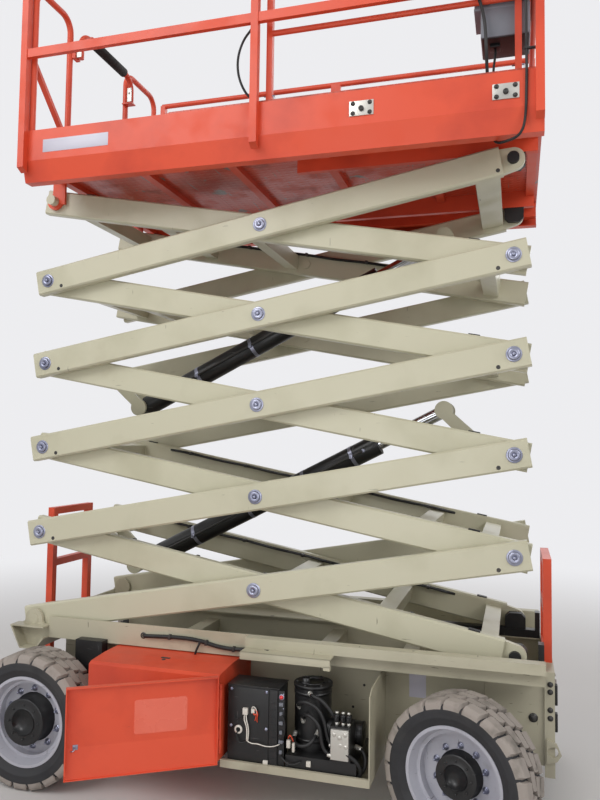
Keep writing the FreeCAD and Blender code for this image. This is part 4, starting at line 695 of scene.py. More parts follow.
# frames that lie along the arms, so that trim can be placed on them
restAngle = math.atan2(stageRise, frontX - rearPin.x)


def armPlace(stage, rising):
    middle = Vector((middlePin.x, 0.0, rearPin.z + stageRise * (stage - 0.5)))
    return Matrix.Translation(middle) @ Matrix.Rotation(-restAngle if rising else restAngle, 4, "Y")


def along(place, points):
    return [place @ Vector(point) for point in points]


def addPair(mesh, xs, ys, zs, bevel=0.0, place=None):
    # the same box on both sides; ys are distances from the middle of the machine
    for side in (-1, 1):
        low, high = sorted(side * y for y in ys)
        addBox(mesh, (xs[0], low, zs[0]), (xs[1], high, zs[1]), bevel, place)


# hoses and cables clipped to the inner faces of the inner arms
armHoseLook = {
    "face": 0.410,  # inner face of the arm, from the middle of the machine
    "height": 0.060,  # above the arm's middle line, clear of the cross tubes
    "reach": 1.02,
    "lines": ((0.397, 0.0085), (0.380, 0.0055)),  # distance from the middle, radius
    "sag": 0.005,
    "clipsAt": (-0.84, -0.42, 0.0, 0.42, 0.84),
    "clipHalf": 0.009,
    "clipDepth": (0.3705, 0.4105),
}
for stage in range(1, stageCount + 1):
    place = armPlace(stage, False)
    upward = place.to_3x3() @ Vector((0, 0, 1))
    face, z, half = armHoseLook["face"], armHoseLook["height"], armHoseLook["clipHalf"]
    lines = bmesh.new()
    clips = bmesh.new()
    for side in (-1, 1):
        for y, radius in armHoseLook["lines"]:
            reach = armHoseLook["reach"] - (face - y)
            path = [(-reach, face + 0.004, z - 0.006), (0.05 - reach, y + 0.002, z - 0.003)]
            for x in armHoseLook["clipsAt"]:
                path += [(x - 0.05, y, z), (x, y, z), (x + 0.05, y, z)]
                if x < armHoseLook["clipsAt"][-1]:
                    path.append((x + 0.21, y, z - armHoseLook["sag"]))
            path += [(reach - 0.05, y + 0.002, z - 0.003), (reach, face + 0.004, z - 0.006)]
            addHose(lines, along(place, [(px, side * py, pz) for px, py, pz in path]), radius, 8, 3)
        for x in armHoseLook["clipsAt"]:
            low, high = sorted(side * y for y in armHoseLook["clipDepth"])
            addBox(clips, (x - half, low, z - 0.0095), (x + half, high, z + 0.0105), 0.002, place)
            addBolt(clips, place @ Vector((x, side * 0.389, z + 0.0105)), upward, 0.003, False)
    keepPiece(f"armHoses_{stage}", lines, "blackRubber", f"inner_{stage}")
    keepPiece(f"armClips_{stage}", clips, "darkSteel", f"inner_{stage}")

# wear pads on the inner arms, plugs near the ends of the outer arms
armTrimLook = {
    "padX": (1.14, 1.20), "padY": (0.423, 0.457), "padZ": (0.0745, 0.081),
    "plugX": 1.300, "plugDrop": -0.050, "plugRadius": 0.011,
}
radius = armTrimLook["plugRadius"]
plugProfile = ((0, 0.0), (radius, 0.0), (radius - 0.002, 0.002), (0.004, 0.002), (0.003, 0.0008), (0, 0.0008))
for stage in range(1, stageCount + 1):
    place = armPlace(stage, False)
    pads = bmesh.new()
    for end in (-1, 1):
        padRange = sorted(end * x for x in armTrimLook["padX"])
        addPair(pads, padRange, armTrimLook["padY"], armTrimLook["padZ"], 0.002, place)
    keepPiece(f"armPads_{stage}", pads, "blackRubber", f"inner_{stage}")
    place = armPlace(stage, True)
    plugs = bmesh.new()
    for side in (-1, 1):
        for end in (-1, 1):
            spot = place @ Vector((end * armTrimLook["plugX"], side * pinLook["face"], armTrimLook["plugDrop"]))
            turned(plugs, plugProfile, aim(spot, (0, side, 0)), 16)
    keepPiece(f"armPlugs_{stage}", plugs, "darkSteel", f"outer_{stage}")
print("stage 9: arm trim made")

# lift cylinders: feed pipe, clamps and port fittings on each barrel
cylinderLook = {
    "barrel": 0.0635,
    "pipe": 0.0075,
    "pipeOut": 0.0765,
    "pipeFoot": 0.060,
    "ports": (0.24, 1.66),
    "clampsAt": (0.45, 0.85, 1.25, 1.58),
    "clampHalf": 0.011,
    "eye": 0.046,
}
nearward = (0, -1, 0)


def dressBarrel(name, eye, direction):
    place = aim(eye, direction)  # local Z along the barrel
    side = place.to_3x3().inverted() @ Vector(nearward)
    radius, out, foot = cylinderLook["barrel"], cylinderLook["pipeOut"], cylinderLook["pipeFoot"]
    half = cylinderLook["clampHalf"]
    start, end = cylinderLook["ports"]
    path = (
        (foot, start), (out - 0.004, start + 0.006), (out, start + 0.05), (out, (start + end) / 2),
        (out, end - 0.05), (out - 0.004, end - 0.006), (foot, end),
    )
    pipe = bmesh.new()
    addHose(pipe, [place @ (side * away + Vector((0, 0, z))) for away, z in path], cylinderLook["pipe"], 10, 6)
    keepPiece(f"feedPipe_{name}", pipe, "darkSteel", name)
    metal = bmesh.new()
    for z in cylinderLook["clampsAt"]:
        band = ((radius - 0.001, -half), (radius + 0.0015, -half), (radius + 0.0015, half), (radius - 0.001, half))
        turned(metal, band, place @ Matrix.Translation((0, 0, z)), 32)
        spot = place @ (side * (radius + 0.001) + Vector((0, 0, z)))
        addBox(metal, (-0.010, -0.013, 0.0), (0.010, 0.013, 0.022), 0.003, aim(spot, nearward))
        addBolt(metal, spot + Vector((0, -0.022, 0)), nearward, 0.0045, False)
    for z in (start, end):
        spot = place @ (side * (radius - 0.001) + Vector((0, 0, z)))
        turned(metal, ((0, 0), (0.013, 0), (0.013, 0.008), (0.0105, 0.0105), (0, 0.0105)), aim(spot, nearward), 6)
    keepPiece(f"pipeClamps_{name}", metal, "zincPlate", name)


lowerEye = Vector(joints["cylinder_lower_pivot"]["pos_m"])
liftLine = Vector(joints["cylinder_lower_stroke"]["axis"])
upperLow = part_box("cylinder_upper_barrel")[0]
upperEye = Vector((upperLow.x + cylinderLook["eye"], 0.0, upperLow.z + cylinderLook["eye"]))
dressBarrel("cylinder_lower_barrel", lowerEye, liftLine)
dressBarrel("cylinder_upper_barrel", upperEye, liftLine)
print("stage 10: cylinders dressed")

# open bay: control module with its lid, hinged strip, connector column, screws and pilot lamp
moduleLook = {
    "low": (0.022, -0.795, 0.267),
    "high": (0.291, -0.645, 0.667),
    "ribs": 9,
    "ribPitch": 0.034,
    "columnX": 0.306,
    "plugsAt": (0.36, 0.41, 0.455, 0.50, 0.545, 0.59),
    "lamp": (0.306, -0.797, 0.632),
    "lampRadius": 0.010,
}
x0, y0, z0 = moduleLook["low"]
x1, y1, z1 = moduleLook["high"]
columnX = moduleLook["columnX"]
panel = bmesh.new()
addBox(panel, (x0 + 0.008, y0 - 0.004, z0 + 0.008), (x1 - 0.052, y0 + 0.001, z1 - 0.008), 0.0015)
addBox(panel, (x1 - 0.046, y0 - 0.009, z0 + 0.004), (x1 - 0.004, y0 + 0.001, z1 - 0.004), 0.002)
addBox(panel, (x1 - 0.002, y0 - 0.002, z0 - 0.003), (x1 + 0.030, y0 + 0.002, z1 - 0.006), 0.001)
addBox(panel, (x0 - 0.004, y0 - 0.002, z1 - 0.002), (x1 + 0.004, y1 + 0.002, z1 + 0.003), 0.001)
for number in range(moduleLook["ribs"]):
    z = z0 + 0.06 + number * moduleLook["ribPitch"]
    addBox(panel, (x1 - 0.040, y0 - 0.0115, z), (x1 - 0.010, y0 - 0.008, z + 0.006), 0.001)
keepPiece("modulePanel", panel, "blackPaint", "chassis")
screws = bmesh.new()
for x in (x0 + 0.018, x1 - 0.064):
    for z in (z0 + 0.020, (z0 + z1) / 2, z1 - 0.020):
        addBolt(screws, (x, y0 - 0.004, z), nearward, 0.0045)
for z in (z0 + 0.02, z0 + 0.15, z1 - 0.09, z1 - 0.02):
    addBolt(screws, (columnX + 0.010, y0 - 0.002, z), nearward, 0.003, False)
keepPiece("moduleScrews", screws, "zincPlate", "chassis")
plugs = bmesh.new()
for number, z in enumerate(moduleLook["plugsAt"]):
    wide = 0.010 if number % 2 else 0.007
    addBox(plugs, (columnX - wide, y0 - 0.014, z), (columnX + wide, y0 - 0.002, z + 0.016), 0.002)
    pin = aim((columnX, y0 - 0.014, z + 0.008), nearward)
    turned(plugs, ((0, 0), (0.004, 0), (0.004, 0.004), (0, 0.004)), pin, 10)
keepPiece("modulePlugs", plugs, "greyPlastic", "chassis")
size = moduleLook["lampRadius"]
lampPlace = aim(moduleLook["lamp"], nearward)
lens = bmesh.new()
turned(lens, ((size, 0), (size, 0.004), (size * 0.85, 0.009), (size * 0.5, 0.0125), (0, 0.0135)), lampPlace, 20)
keepPiece("modulePilotLamp", lens, "redLens", "chassis")
lensRim = bmesh.new()
turned(lensRim, ((size, 0.003), (size + 0.004, 0.003), (size + 0.004, -0.001), (size, -0.001)), lampPlace, 20)
keepPiece("modulePilotRim", lensRim, "zincPlate", "chassis")

# wiring on the module's face: each lead is its radius, then points as (x, depth in front of the panel, z)
moduleFace = y0 - 0.004
leadRuns = {
    "Pale": ("wireWhite", "grey_plastic", (
        (0.0032, (0.118, 0.004, 0.540), (0.110, 0.012, 0.515), (0.128, 0.014, 0.480), (0.132, 0.012, 0.440),
         (0.128, 0.008, 0.405)),
        (0.0030, (0.122, 0.004, 0.538), (0.126, 0.014, 0.510), (0.138, 0.014, 0.478), (0.140, 0.012, 0.438),
         (0.134, 0.008, 0.402)),
        (0.0026, (0.126, 0.006, 0.404), (0.150, 0.014, 0.394), (0.190, 0.014, 0.398), (0.230, 0.012, 0.388),
         (0.276, 0.006, 0.392), (0.300, 0.004, 0.405)),
        (0.0024, (0.158, 0.004, 0.552), (0.152, 0.014, 0.570), (0.170, 0.016, 0.578), (0.182, 0.012, 0.556),
         (0.178, 0.004, 0.530)),
    )),
    "Orange": ("orangePaint", "orange_paint", (
        (0.0026, (0.160, 0.004, 0.548), (0.168, 0.016, 0.530), (0.180, 0.014, 0.546), (0.176, 0.010, 0.518),
         (0.170, 0.004, 0.505)),
        (0.0024, (0.166, 0.004, 0.556), (0.178, 0.012, 0.562), (0.188, 0.012, 0.540), (0.180, 0.008, 0.515),
         (0.182, 0.003, 0.498)),
        (0.0028, (0.345, 0.006, 0.440), (0.352, 0.014, 0.462), (0.366, 0.014, 0.452), (0.372, 0.008, 0.430)),
    )),
    "Dark": ("blackRubber", "black_paint", (
        (0.0028, (0.066, 0.004, 0.520), (0.060, 0.012, 0.505), (0.082, 0.012, 0.500), (0.110, 0.010, 0.522),
         (0.120, 0.004, 0.540)),
        (0.0030, (0.128, 0.004, 0.400), (0.100, 0.012, 0.385), (0.080, 0.012, 0.400), (0.072, 0.010, 0.430),
         (0.080, 0.004, 0.448)),
        (0.0035, (0.296, 0.004, 0.560), (0.325, 0.010, 0.540), (0.330, 0.010, 0.480), (0.318, 0.008, 0.430),
         (0.298, 0.004, 0.420)),
        (0.0045, (0.306, 0.004, 0.350), (0.330, 0.012, 0.330), (0.352, 0.012, 0.318), (0.385, 0.010, 0.320),
         (0.410, 0.004, 0.335)),
    )),
}
for colour, (kind, slot, runs) in leadRuns.items():
    wires = bmesh.new()
    for radius, *points in runs:
        addHose(wires, [(x, moduleFace - depth, z) for x, depth, z in points], radius, 7, 6)
    keepPiece(f"moduleLeads{colour}", wires, kind, "chassis")
sockets = bmesh.new()
addBox(sockets, (0.106, moduleFace - 0.014, 0.530), (0.132, moduleFace + 0.001, 0.562), 0.002)
addBox(sockets, (0.150, moduleFace - 0.010, 0.540), (0.168, moduleFace + 0.001, 0.562), 0.002)
addBox(sockets, (0.338, moduleFace - 0.012, 0.395), (0.356, moduleFace + 0.006, 0.432), 0.002)
addBox(sockets, (0.366, moduleFace - 0.010, 0.378), (0.378, moduleFace + 0.006, 0.420), 0.002)
washer = ((0.012, 0), (0.021, 0), (0.021, 0.007), (0.012, 0.007))
turned(sockets, washer, aim((0.082, moduleFace + 0.0005, 0.452), nearward), 24)
keepPiece("moduleSockets", sockets, "wireWhite", "chassis")

# pump unit: bands, lid and filler on the tank, hoses with bright ferrules, valve block with coils
pumpLook = {
    "tank": (0.423, -0.630),
    "tankRadius": 0.094,
    "tankLow": 0.357,
    "tankTop": 0.667,
    "blockX": (0.555, 0.655),
    "blockY": -0.795,
    "blockZ": (0.357, 0.522),
    "valves": (0.580, 0.612, 0.640),
    "motorEnd": (0.685, -0.630, 0.440),
    "hose": 0.0095,
}
tankX, tankY = pumpLook["tank"]
tankTop = pumpLook["tankTop"]
radius = pumpLook["tankRadius"]
tankTrim = bmesh.new()
band = ((radius - 0.001, 0), (radius + 0.0025, 0), (radius + 0.0025, 0.014), (radius - 0.001, 0.014))
for z in (pumpLook["tankLow"] + 0.040, tankTop - 0.045):
    turned(tankTrim, band, Matrix.Translation((tankX, tankY, z)), 40)
lid = (
    (0, 0.008), (radius * 0.6, 0.008), (radius * 0.65, 0.004), (radius + 0.004, 0.004),
    (radius + 0.006, 0.001), (radius + 0.006, -0.012), (radius - 0.001, -0.012),
)
turned(tankTrim, lid, Matrix.Translation((tankX, tankY, tankTop)), 40)
filler = ((0, 0.026), (0.017, 0.026), (0.021, 0.022), (0.021, 0.004), (0.026, 0.004), (0.026, -0.001))
turned(tankTrim, filler, Matrix.Translation((tankX - 0.03, tankY - 0.03, tankTop + 0.006)), 20)
for number in range(6):
    turn = math.radians(60 * number + 15)
    spot = (tankX + 0.082 * math.cos(turn), tankY + 0.082 * math.sin(turn), tankTop + 0.004)
    addBolt(tankTrim, spot, (0, 0, 1), 0.0045)
keepPiece("tankTrim", tankTrim, "blackPaint", "chassis")
hoseRuns = (
    ((0.375, -0.700, 0.560), (0.368, -0.738, 0.590), (0.420, -0.768, 0.615), (0.488, -0.770, 0.590),
     (0.522, -0.768, 0.520), (0.540, -0.775, 0.440), (0.570, -0.780, 0.405)),
    ((0.398, -0.718, 0.500), (0.400, -0.752, 0.545), (0.452, -0.782, 0.555), (0.500, -0.786, 0.510),
     (0.508, -0.786, 0.440), (0.530, -0.788, 0.385), (0.572, -0.788, 0.378)),
    ((0.430, -0.720, 0.640), (0.448, -0.752, 0.640), (0.500, -0.758, 0.628), (0.548, -0.752, 0.575),
     (0.575, -0.745, 0.530), (0.590, -0.742, 0.505)),
    ((0.350, -0.700, 0.430), (0.352, -0.750, 0.412), (0.388, -0.782, 0.398), (0.440, -0.784, 0.408),
     (0.470, -0.770, 0.440), (0.478, -0.722, 0.460)),
    ((0.665, -0.700, 0.400), (0.700, -0.715, 0.395), (0.722, -0.735, 0.360), (0.715, -0.752, 0.310),
     (0.680, -0.760, 0.285), (0.640, -0.760, 0.275)),
    ((0.590, -0.790, 0.420), (0.640, -0.806, 0.400), (0.690, -0.800, 0.370), (0.710, -0.785, 0.320),
     (0.690, -0.775, 0.280), (0.670, -0.775, 0.268)),
)
ferrule = ((0, -0.004), (0.013, -0.004), (0.013, 0.008), (0.0112, 0.010), (0.0112, 0.030), (0.0098, 0.032))
hoses = bmesh.new()
bright = bmesh.new()
for points in hoseRuns:
    addHose(hoses, points, pumpLook["hose"], 10, 5)
    for first, second in ((points[0], points[1]), (points[-1], points[-2])):
        start = Vector(first)
        turned(bright, ferrule, aim(start, (Vector(second) - start).normalized()), 8)
keepPiece("pumpHoses", hoses, "blackRubber", "chassis")
blockY = pumpLook["blockY"]
blockStart, blockEnd = pumpLook["blockX"]
blockLow, blockTop = pumpLook["blockZ"]
faceLow = (blockStart + 0.006, blockY - 0.016, blockLow + 0.012)
addBox(bright, faceLow, (blockEnd - 0.006, blockY + 0.001, blockTop - 0.010), 0.002)
for x, z, reach in (
    (0.578, 0.490, 0.012), (0.606, 0.478, 0.016), (0.633, 0.492, 0.012), (0.610, 0.440, 0.010), (0.636, 0.436, 0.012)
):
    plug = ((0, 0), (0.011, 0), (0.011, reach - 0.002), (0.009, reach), (0, reach))
    turned(bright, plug, aim((x, blockY - 0.007, z), nearward, 0.4), 6)
stem = (
    (0, 0), (0.010, 0), (0.010, 0.012), (0.006, 0.014), (0.006, 0.052), (0.009, 0.053), (0.009, 0.060), (0, 0.062),
)
coil = ((0.006, 0.014), (0.0145, 0.014), (0.0155, 0.016), (0.0155, 0.046), (0.0145, 0.048), (0.006, 0.048))
coils = bmesh.new()
for x in pumpLook["valves"]:
    place = Matrix.Translation((x, blockY + 0.035, blockTop - 0.001))
    turned(bright, stem, place, 12)
    turned(coils, coil, place, 16)
    addBox(coils, (x - 0.006, blockY + 0.010, blockTop + 0.022), (x + 0.006, blockY + 0.024, blockTop + 0.040), 0.002)
keepPiece("valveBlock", bright, "alloyPlate", "chassis")
motorRing = (
    (0.055, -0.004), (0.0615, -0.004), (0.0615, 0.004), (0.055, 0.006), (0.030, 0.006), (0.026, 0.010), (0, 0.010),
)
turned(coils, motorRing, aim(pumpLook["motorEnd"], (1, 0, 0)), 32)
keepPiece("valveCoils", coils, "blackPaint", "chassis")
relay = bmesh.new()
addBox(relay, (0.438, -0.806, 0.316), (0.460, -0.7945, 0.342), 0.002)
addBox(relay, (0.215, -0.808, 0.300), (0.240, -0.790, 0.318), 0.002)
keepPiece("bayRelays", relay, "wireWhite", "chassis")
print("stage 11: bay dressed")

# chassis: bracket bars, cables and clips, bolts, rubber stops, blank plates, weld seams, latch
chassisLook = {
    "barX": (0.045, 0.527),
    "barY": (0.615, 0.706),
    "barZ": (0.768, 0.807),
    "barThick": 0.006,
    "cable": 0.011,
    "branch": 0.006,
    "cableClips": ((-0.42, 0.809), (-0.20, 0.797), (-0.04, 0.777)),  # x, z
    "wall": 0.385,  # outer face of the frame wall, from the middle of the machine
    "stops": ((0.470, 0.560), (0.600, 0.700)),
    "plates": (((0.881, 0.969), (0.566, 0.700)), ((-1.060, -1.000), (0.600, 0.665))),  # x, z
}
barX, (barIn, barOut), (barLow, barTop) = chassisLook["barX"], chassisLook["barY"], chassisLook["barZ"]
wall = chassisLook["wall"]
bracket = bmesh.new()
addPair(bracket, barX, (barIn, barOut), (barTop - chassisLook["barThick"], barTop), 0.001)
addPair(bracket, barX, (barOut - chassisLook["barThick"], barOut), (barLow, barTop), 0.001)
addPair(bracket, (barX[1] - 0.035, barX[1]), (0.680, barOut), (barLow - 0.016, barLow + 0.004), 0.001)
keepPiece("bracketBars", bracket, "chassisPaint", "chassis")
railRun = (
    (-0.590, 0.548, 0.800), (-0.584, 0.570, 0.800), (-0.540, 0.574, 0.803), (-0.360, 0.574, 0.812),
    (-0.240, 0.574, 0.806), (-0.160, 0.574, 0.786), (-0.080, 0.574, 0.776), (0.000, 0.574, 0.778),
    (0.060, 0.590, 0.786), (0.120, 0.620, 0.792), (0.180, 0.640, 0.7995),
)
branchRun = (
    (-0.235, 0.574, 0.806), (-0.240, 0.590, 0.780), (-0.262, 0.590, 0.735), (-0.262, 0.560, 0.700),
    (-0.262, 0.480, 0.690), (-0.262, 0.384, 0.690),
)
grommet = ((0.0105, 0.0), (0.018, 0.0), (0.018, 0.003), (0.015, 0.005), (0.0105, 0.005))
cables = bmesh.new()
clips = bmesh.new()
for side in (-1, 1):
    addHose(cables, [(x, side * y, z) for x, y, z in railRun], chassisLook["cable"], 10, 6)
    addHose(cables, [(x, side * y, z) for x, y, z in branchRun], chassisLook["branch"], 8, 6)
    turned(clips, grommet, aim((-0.588, side * 0.5615, 0.800), (0, side, 0)), 20)
for x, z in chassisLook["cableClips"]:
    addPair(clips, (x - 0.008, x + 0.008), (0.561, 0.588), (z - 0.014, z + 0.014), 0.004)
keepPiece("railCables", cables, "blackRubber", "chassis")
keepPiece("railClips", clips, "darkSteel", "chassis")
bolts = bmesh.new()
rivet = ((0, 0), (0.007, 0), (0.007, 0.0012), (0.004, 0.0018), (0, 0.0018))
for side in (-1, 1):
    for z in (0.705, 0.668, 0.580, 0.540):
        addBolt(bolts, (1.586, side * 0.400, z), (0, side, 0), 0.008)
    addBolt(bolts, (1.505, side * wall, 0.530), (0, side, 0), 0.013)
    for x, z in ((-1.05, 0.62), (-0.90, 0.42), (0.93, 0.70), (1.00, 0.40), (0.64, 0.60), (0.58, 0.48)):
        turned(bolts, rivet, aim((x, side * wall, z), (0, side, 0)), 14)
keepPiece("frameBolts", bolts, "darkSteel", "chassis")
stops = bmesh.new()
for zRange in chassisLook["stops"]:
    addPair(stops, (1.607, 1.622), (0.350, 0.388), zRange, 0.004)
keepPiece("rubberStops", stops, "blackRubber", "chassis")
plates = bmesh.new()
for (xLow, xHigh), (zLow, zHigh) in chassisLook["plates"]:
    addBox(plates, (xLow, -wall - 0.0018, zLow), (xHigh, -wall + 0.0002, zHigh), 0.0006)
keepPiece("blankPlates", plates, "barePlate", "chassis")
seams = bmesh.new()
for side in (-1, 1):
    upright = side * (wall + 0.001)
    addHose(seams, [(1.270, upright, 0.310), (1.272, upright, 0.500), (1.270, upright, 0.733)], 0.0028, 6, 6)
    foot = side * 0.553
    addHose(seams, [(0.05, foot, 0.742), (0.75, foot, 0.742), (1.55, foot, 0.742)], 0.003, 6, 3)
keepPiece("weldSeams", seams, "chassisPaint", "chassis")
latch = bmesh.new()
addBox(latch, (-0.406, -0.7065, 0.7205), (-0.356, -0.690, 0.7345), 0.001)
latchKnob = ((0, 0), (0.011, 0), (0.011, 0.004), (0.008, 0.006), (0, 0.006))
turned(latch, latchKnob, Matrix.Translation((-0.381, -0.722, 0.7265)), 16)
keepPiece("coverLatch", latch, "darkSteel", "chassis")
print("stage 12: chassis trim made")

# doors: paler, glossier patch whose pale colour is a painted reflection, and latch hook, in the door's own frame (X
# from the hinge, Z up)
doorLook = {
    "hinge": (0.0025, 0.855),
    "open": 147.0,
    "patchX": (0.165, 0.420),
    "patchZ": (0.478, 0.640),
    "patchDepth": (0.0045, 0.0058),
    "patchCorner": 0.012,
    "hook": (0.690, 0.445),
}


def roundedSheenPatch(mesh, place):
    (xLow, xHigh), (zLow, zHigh) = doorLook["patchX"], doorLook["patchZ"]
    corner = doorLook["patchCorner"]
    outline = []
    for x, z, start in ((xHigh, zHigh, 0), (xLow, zHigh, 90), (xLow, zLow, 180), (xHigh, zLow, 270)):
        cx = x - corner if x == xHigh else x + corner
        cz = z - corner if z == zHigh else z + corner
        for step in range(7):
            turn = math.radians(start + 15 * step)
            outline.append((cx + corner * math.cos(turn), cz + corner * math.sin(turn)))
    back, face = ([mesh.verts.new(place @ Vector((x, y, z))) for x, z in outline] for y in doorLook["patchDepth"])
    mesh.faces.new(face)
    mesh.faces.new(back[::-1])
    for index in range(len(outline)):
        after = (index + 1) % len(outline)
        mesh.faces.new((back[index], back[after], face[after], face[index]))
    bmesh.ops.recalc_face_normals(mesh, faces=mesh.faces)


hookRun = (
    (0.0, 0.004, 0.0), (0.0, 0.018, 0.0), (0.004, 0.024, -0.006), (0.014, 0.024, -0.012), (0.020, 0.018, -0.012),
)
for body, side, swing in (("door_near", -1, -doorLook["open"]), ("door_far", 1, 0.0)):
    hingeX, hingeY = doorLook["hinge"]
    place = Matrix.Translation((hingeX, side * hingeY, 0)) @ Matrix.Rotation(math.radians(swing), 4, "Z")
    place = place @ Matrix.Diagonal((1, -side, 1, 1))
    # the patch's paler colour is a painted reflection
    patch = bmesh.new()
    roundedSheenPatch(patch, place)
    keepPiece(f"{body}_patch", patch, "sheenPatchOrange", body)
    hook = bmesh.new()
    hookX, hookZ = doorLook["hook"]
    addHose(hook, along(place, [(hookX + x, y, hookZ + z) for x, y, z in hookRun]), 0.003, 8, 6)
    addBox(hook, (hookX - 0.012, 0.0045, hookZ - 0.012), (hookX + 0.012, 0.0065, hookZ + 0.012), 0.001, place)
    bmesh.ops.recalc_face_normals(hook, faces=hook.faces)
    keepPiece(f"{body}_hook", hook, "zincPlate", body)
print("stage 13: doors dressed")

# platform: blank plate, roller plates and their pins, cables and ties
platformLook = {
    "face": 0.835,  # outer face of the side panels, from the middle of the machine
    "plateX": (-1.160, -0.740),
    "plateZ": (3.528, 3.602),
    "rollerX": (0.690, 1.385),
    "rollerZ": (3.530, 3.606),
    "rollerHalf": 0.062,
    "cable": 0.0065,
    "rearCable": 0.008,
    "tiesAt": (4.33, 4.02, 3.76),
}
face = platformLook["face"]
(plateLow, plateHigh), (zLow, zHigh) = platformLook["plateX"], platformLook["plateZ"]
blank = bmesh.new()
addBox(blank, (plateLow, -face - 0.0012, zLow), (plateHigh, -face + 0.0005, zHigh), 0.0004)
keepPiece("platformBlankPlate", blank, "barePlate", "platform")
zLow, zHigh = platformLook["rollerZ"]
half = platformLook["rollerHalf"]
rollerPin = ((0, 0), (0.013, 0), (0.013, 0.010), (0.010, 0.013), (0.005, 0.013), (0.004, 0.010), (0, 0.010))
roller = bmesh.new()
rollerPins = bmesh.new()
for side in (-1, 1):
    outside = side * (face + 0.005)
    for x in platformLook["rollerX"]:
        low, high = sorted((side * (face - 0.0005), outside))
        addBox(roller, (x - half, low, zLow), (x + half, high, zHigh), 0.0012)
        for dx in (-0.043, 0.043):
            for z in (zLow + 0.013, zHigh - 0.013):
                addBolt(rollerPins, (x + dx, outside, z), (0, side, 0), 0.0065)
        turned(rollerPins, rollerPin, aim((x, outside, (zLow + zHigh) / 2 - 0.004), (0, side, 0)), 18)
keepPiece("rollerPlates", roller, "alloyPlate", "platform")
keepPiece("rollerPins", rollerPins, "darkSteel", "platform")
cornerRun = (
    (1.500, -0.846, 4.455), (1.482, -0.8435, 4.430), (1.478, -0.843, 4.200), (1.478, -0.843, 3.900),
    (1.480, -0.843, 3.640), (1.478, -0.843, 3.550), (1.476, -0.843, 3.460), (1.468, -0.838, 3.395),
    (1.450, -0.822, 3.360), (1.420, -0.800, 3.350), (1.380, -0.775, 3.350), (1.345, -0.745, 3.356),
    (1.325, -0.722, 3.385), (1.318, -0.712, 3.430),
)
postRun = (
    (0.108, -0.838, 4.085), (0.095, -0.820, 4.075), (0.045, -0.812, 4.030), (0.012, -0.812, 3.940),
    (0.015, -0.812, 3.840), (0.050, -0.812, 3.750), (0.095, -0.812, 3.695), (0.135, -0.812, 3.670),
    (0.165, -0.812, 3.640), (0.170, -0.812, 3.600),
)
rearRun = (
    (-1.270, -0.700, 3.430), (-1.240, -0.715, 3.405), (-1.190, -0.725, 3.385), (-1.130, -0.720, 3.390),
    (-1.085, -0.705, 3.410), (-1.060, -0.690, 3.440),
)
cables = bmesh.new()
addHose(cables, cornerRun, platformLook["cable"], 8, 6)
addHose(cables, postRun, platformLook["cable"], 8, 6)
addHose(cables, rearRun, platformLook["rearCable"], 8, 6)
keepPiece("platformCables", cables, "blackRubber", "platform")
ties = bmesh.new()
for z in platformLook["tiesAt"]:
    addBox(ties, (1.469, -0.8515, z - 0.004), (1.541, -0.8345, z + 0.004), 0.001)
keepPiece("cableTies", ties, "blackRubber", "platform")

# roll-out deck: leads of the control box, pins with wire rings at its posts; brackets on the entry bar
deckLook = {"thickLead": 0.008, "thinLead": 0.006, "postsAt": (0.181, 1.443), "pinY": 0.770, "pinZ": 3.722}
thickRun = (
    (1.246, -0.752, 4.150), (1.244, -0.782, 4.140), (1.252, -0.800, 4.085), (1.276, -0.802, 4.010),
    (1.290, -0.800, 3.920), (1.294, -0.798, 3.820), (1.296, -0.775, 3.730), (1.300, -0.746, 3.660),
    (1.304, -0.742, 3.600), (1.305, -0.742, 3.526),
)
thinRun = (
    (1.330, -0.655, 3.890), (1.335, -0.672, 3.860), (1.332, -0.705, 3.800), (1.326, -0.732, 3.740),
    (1.322, -0.744, 3.620), (1.318, -0.746, 3.526),
)
leads = bmesh.new()
addHose(leads, thickRun, deckLook["thickLead"], 8, 6)
addHose(leads, thinRun, deckLook["thinLead"], 8, 6)
keepPiece("controlLeads", leads, "blackRubber", "roll_out_deck")


def addClip(mesh, spot):
    # pin along X with a wire ring hanging from its head
    turned(mesh, ((0, -0.030), (0.004, -0.030), (0.004, 0.028), (0, 0.030)), aim(spot, (1, 0, 0)), 10)
    ring = []
    for step in range(15):
        turn = math.radians(25 * step)
        ring.append(Vector(spot) + Vector((0.026, 0.012 * math.sin(turn), 0.013 * math.cos(turn) - 0.012)))
    addHose(mesh, ring, 0.0012, 6, 2)


deckClips = bmesh.new()
for side in (-1, 1):
    for x in deckLook["postsAt"]:
        addClip(deckClips, (x, side * deckLook["pinY"], deckLook["pinZ"]))
keepPiece("deckPostClips", deckClips, "zincPlate", "roll_out_deck")
barBrackets = bmesh.new()
for y in (-0.430, 0.195):
    addBox(barBrackets, (-1.217, y - 0.0245, 4.292), (-1.183, y - 0.0195, 4.392), 0.0015)
    addBolt(barBrackets, (-1.200, y - 0.0245, 4.352), nearward, 0.005)
keepPiece("barBrackets", barBrackets, "alloyPlate", "entry_bar")

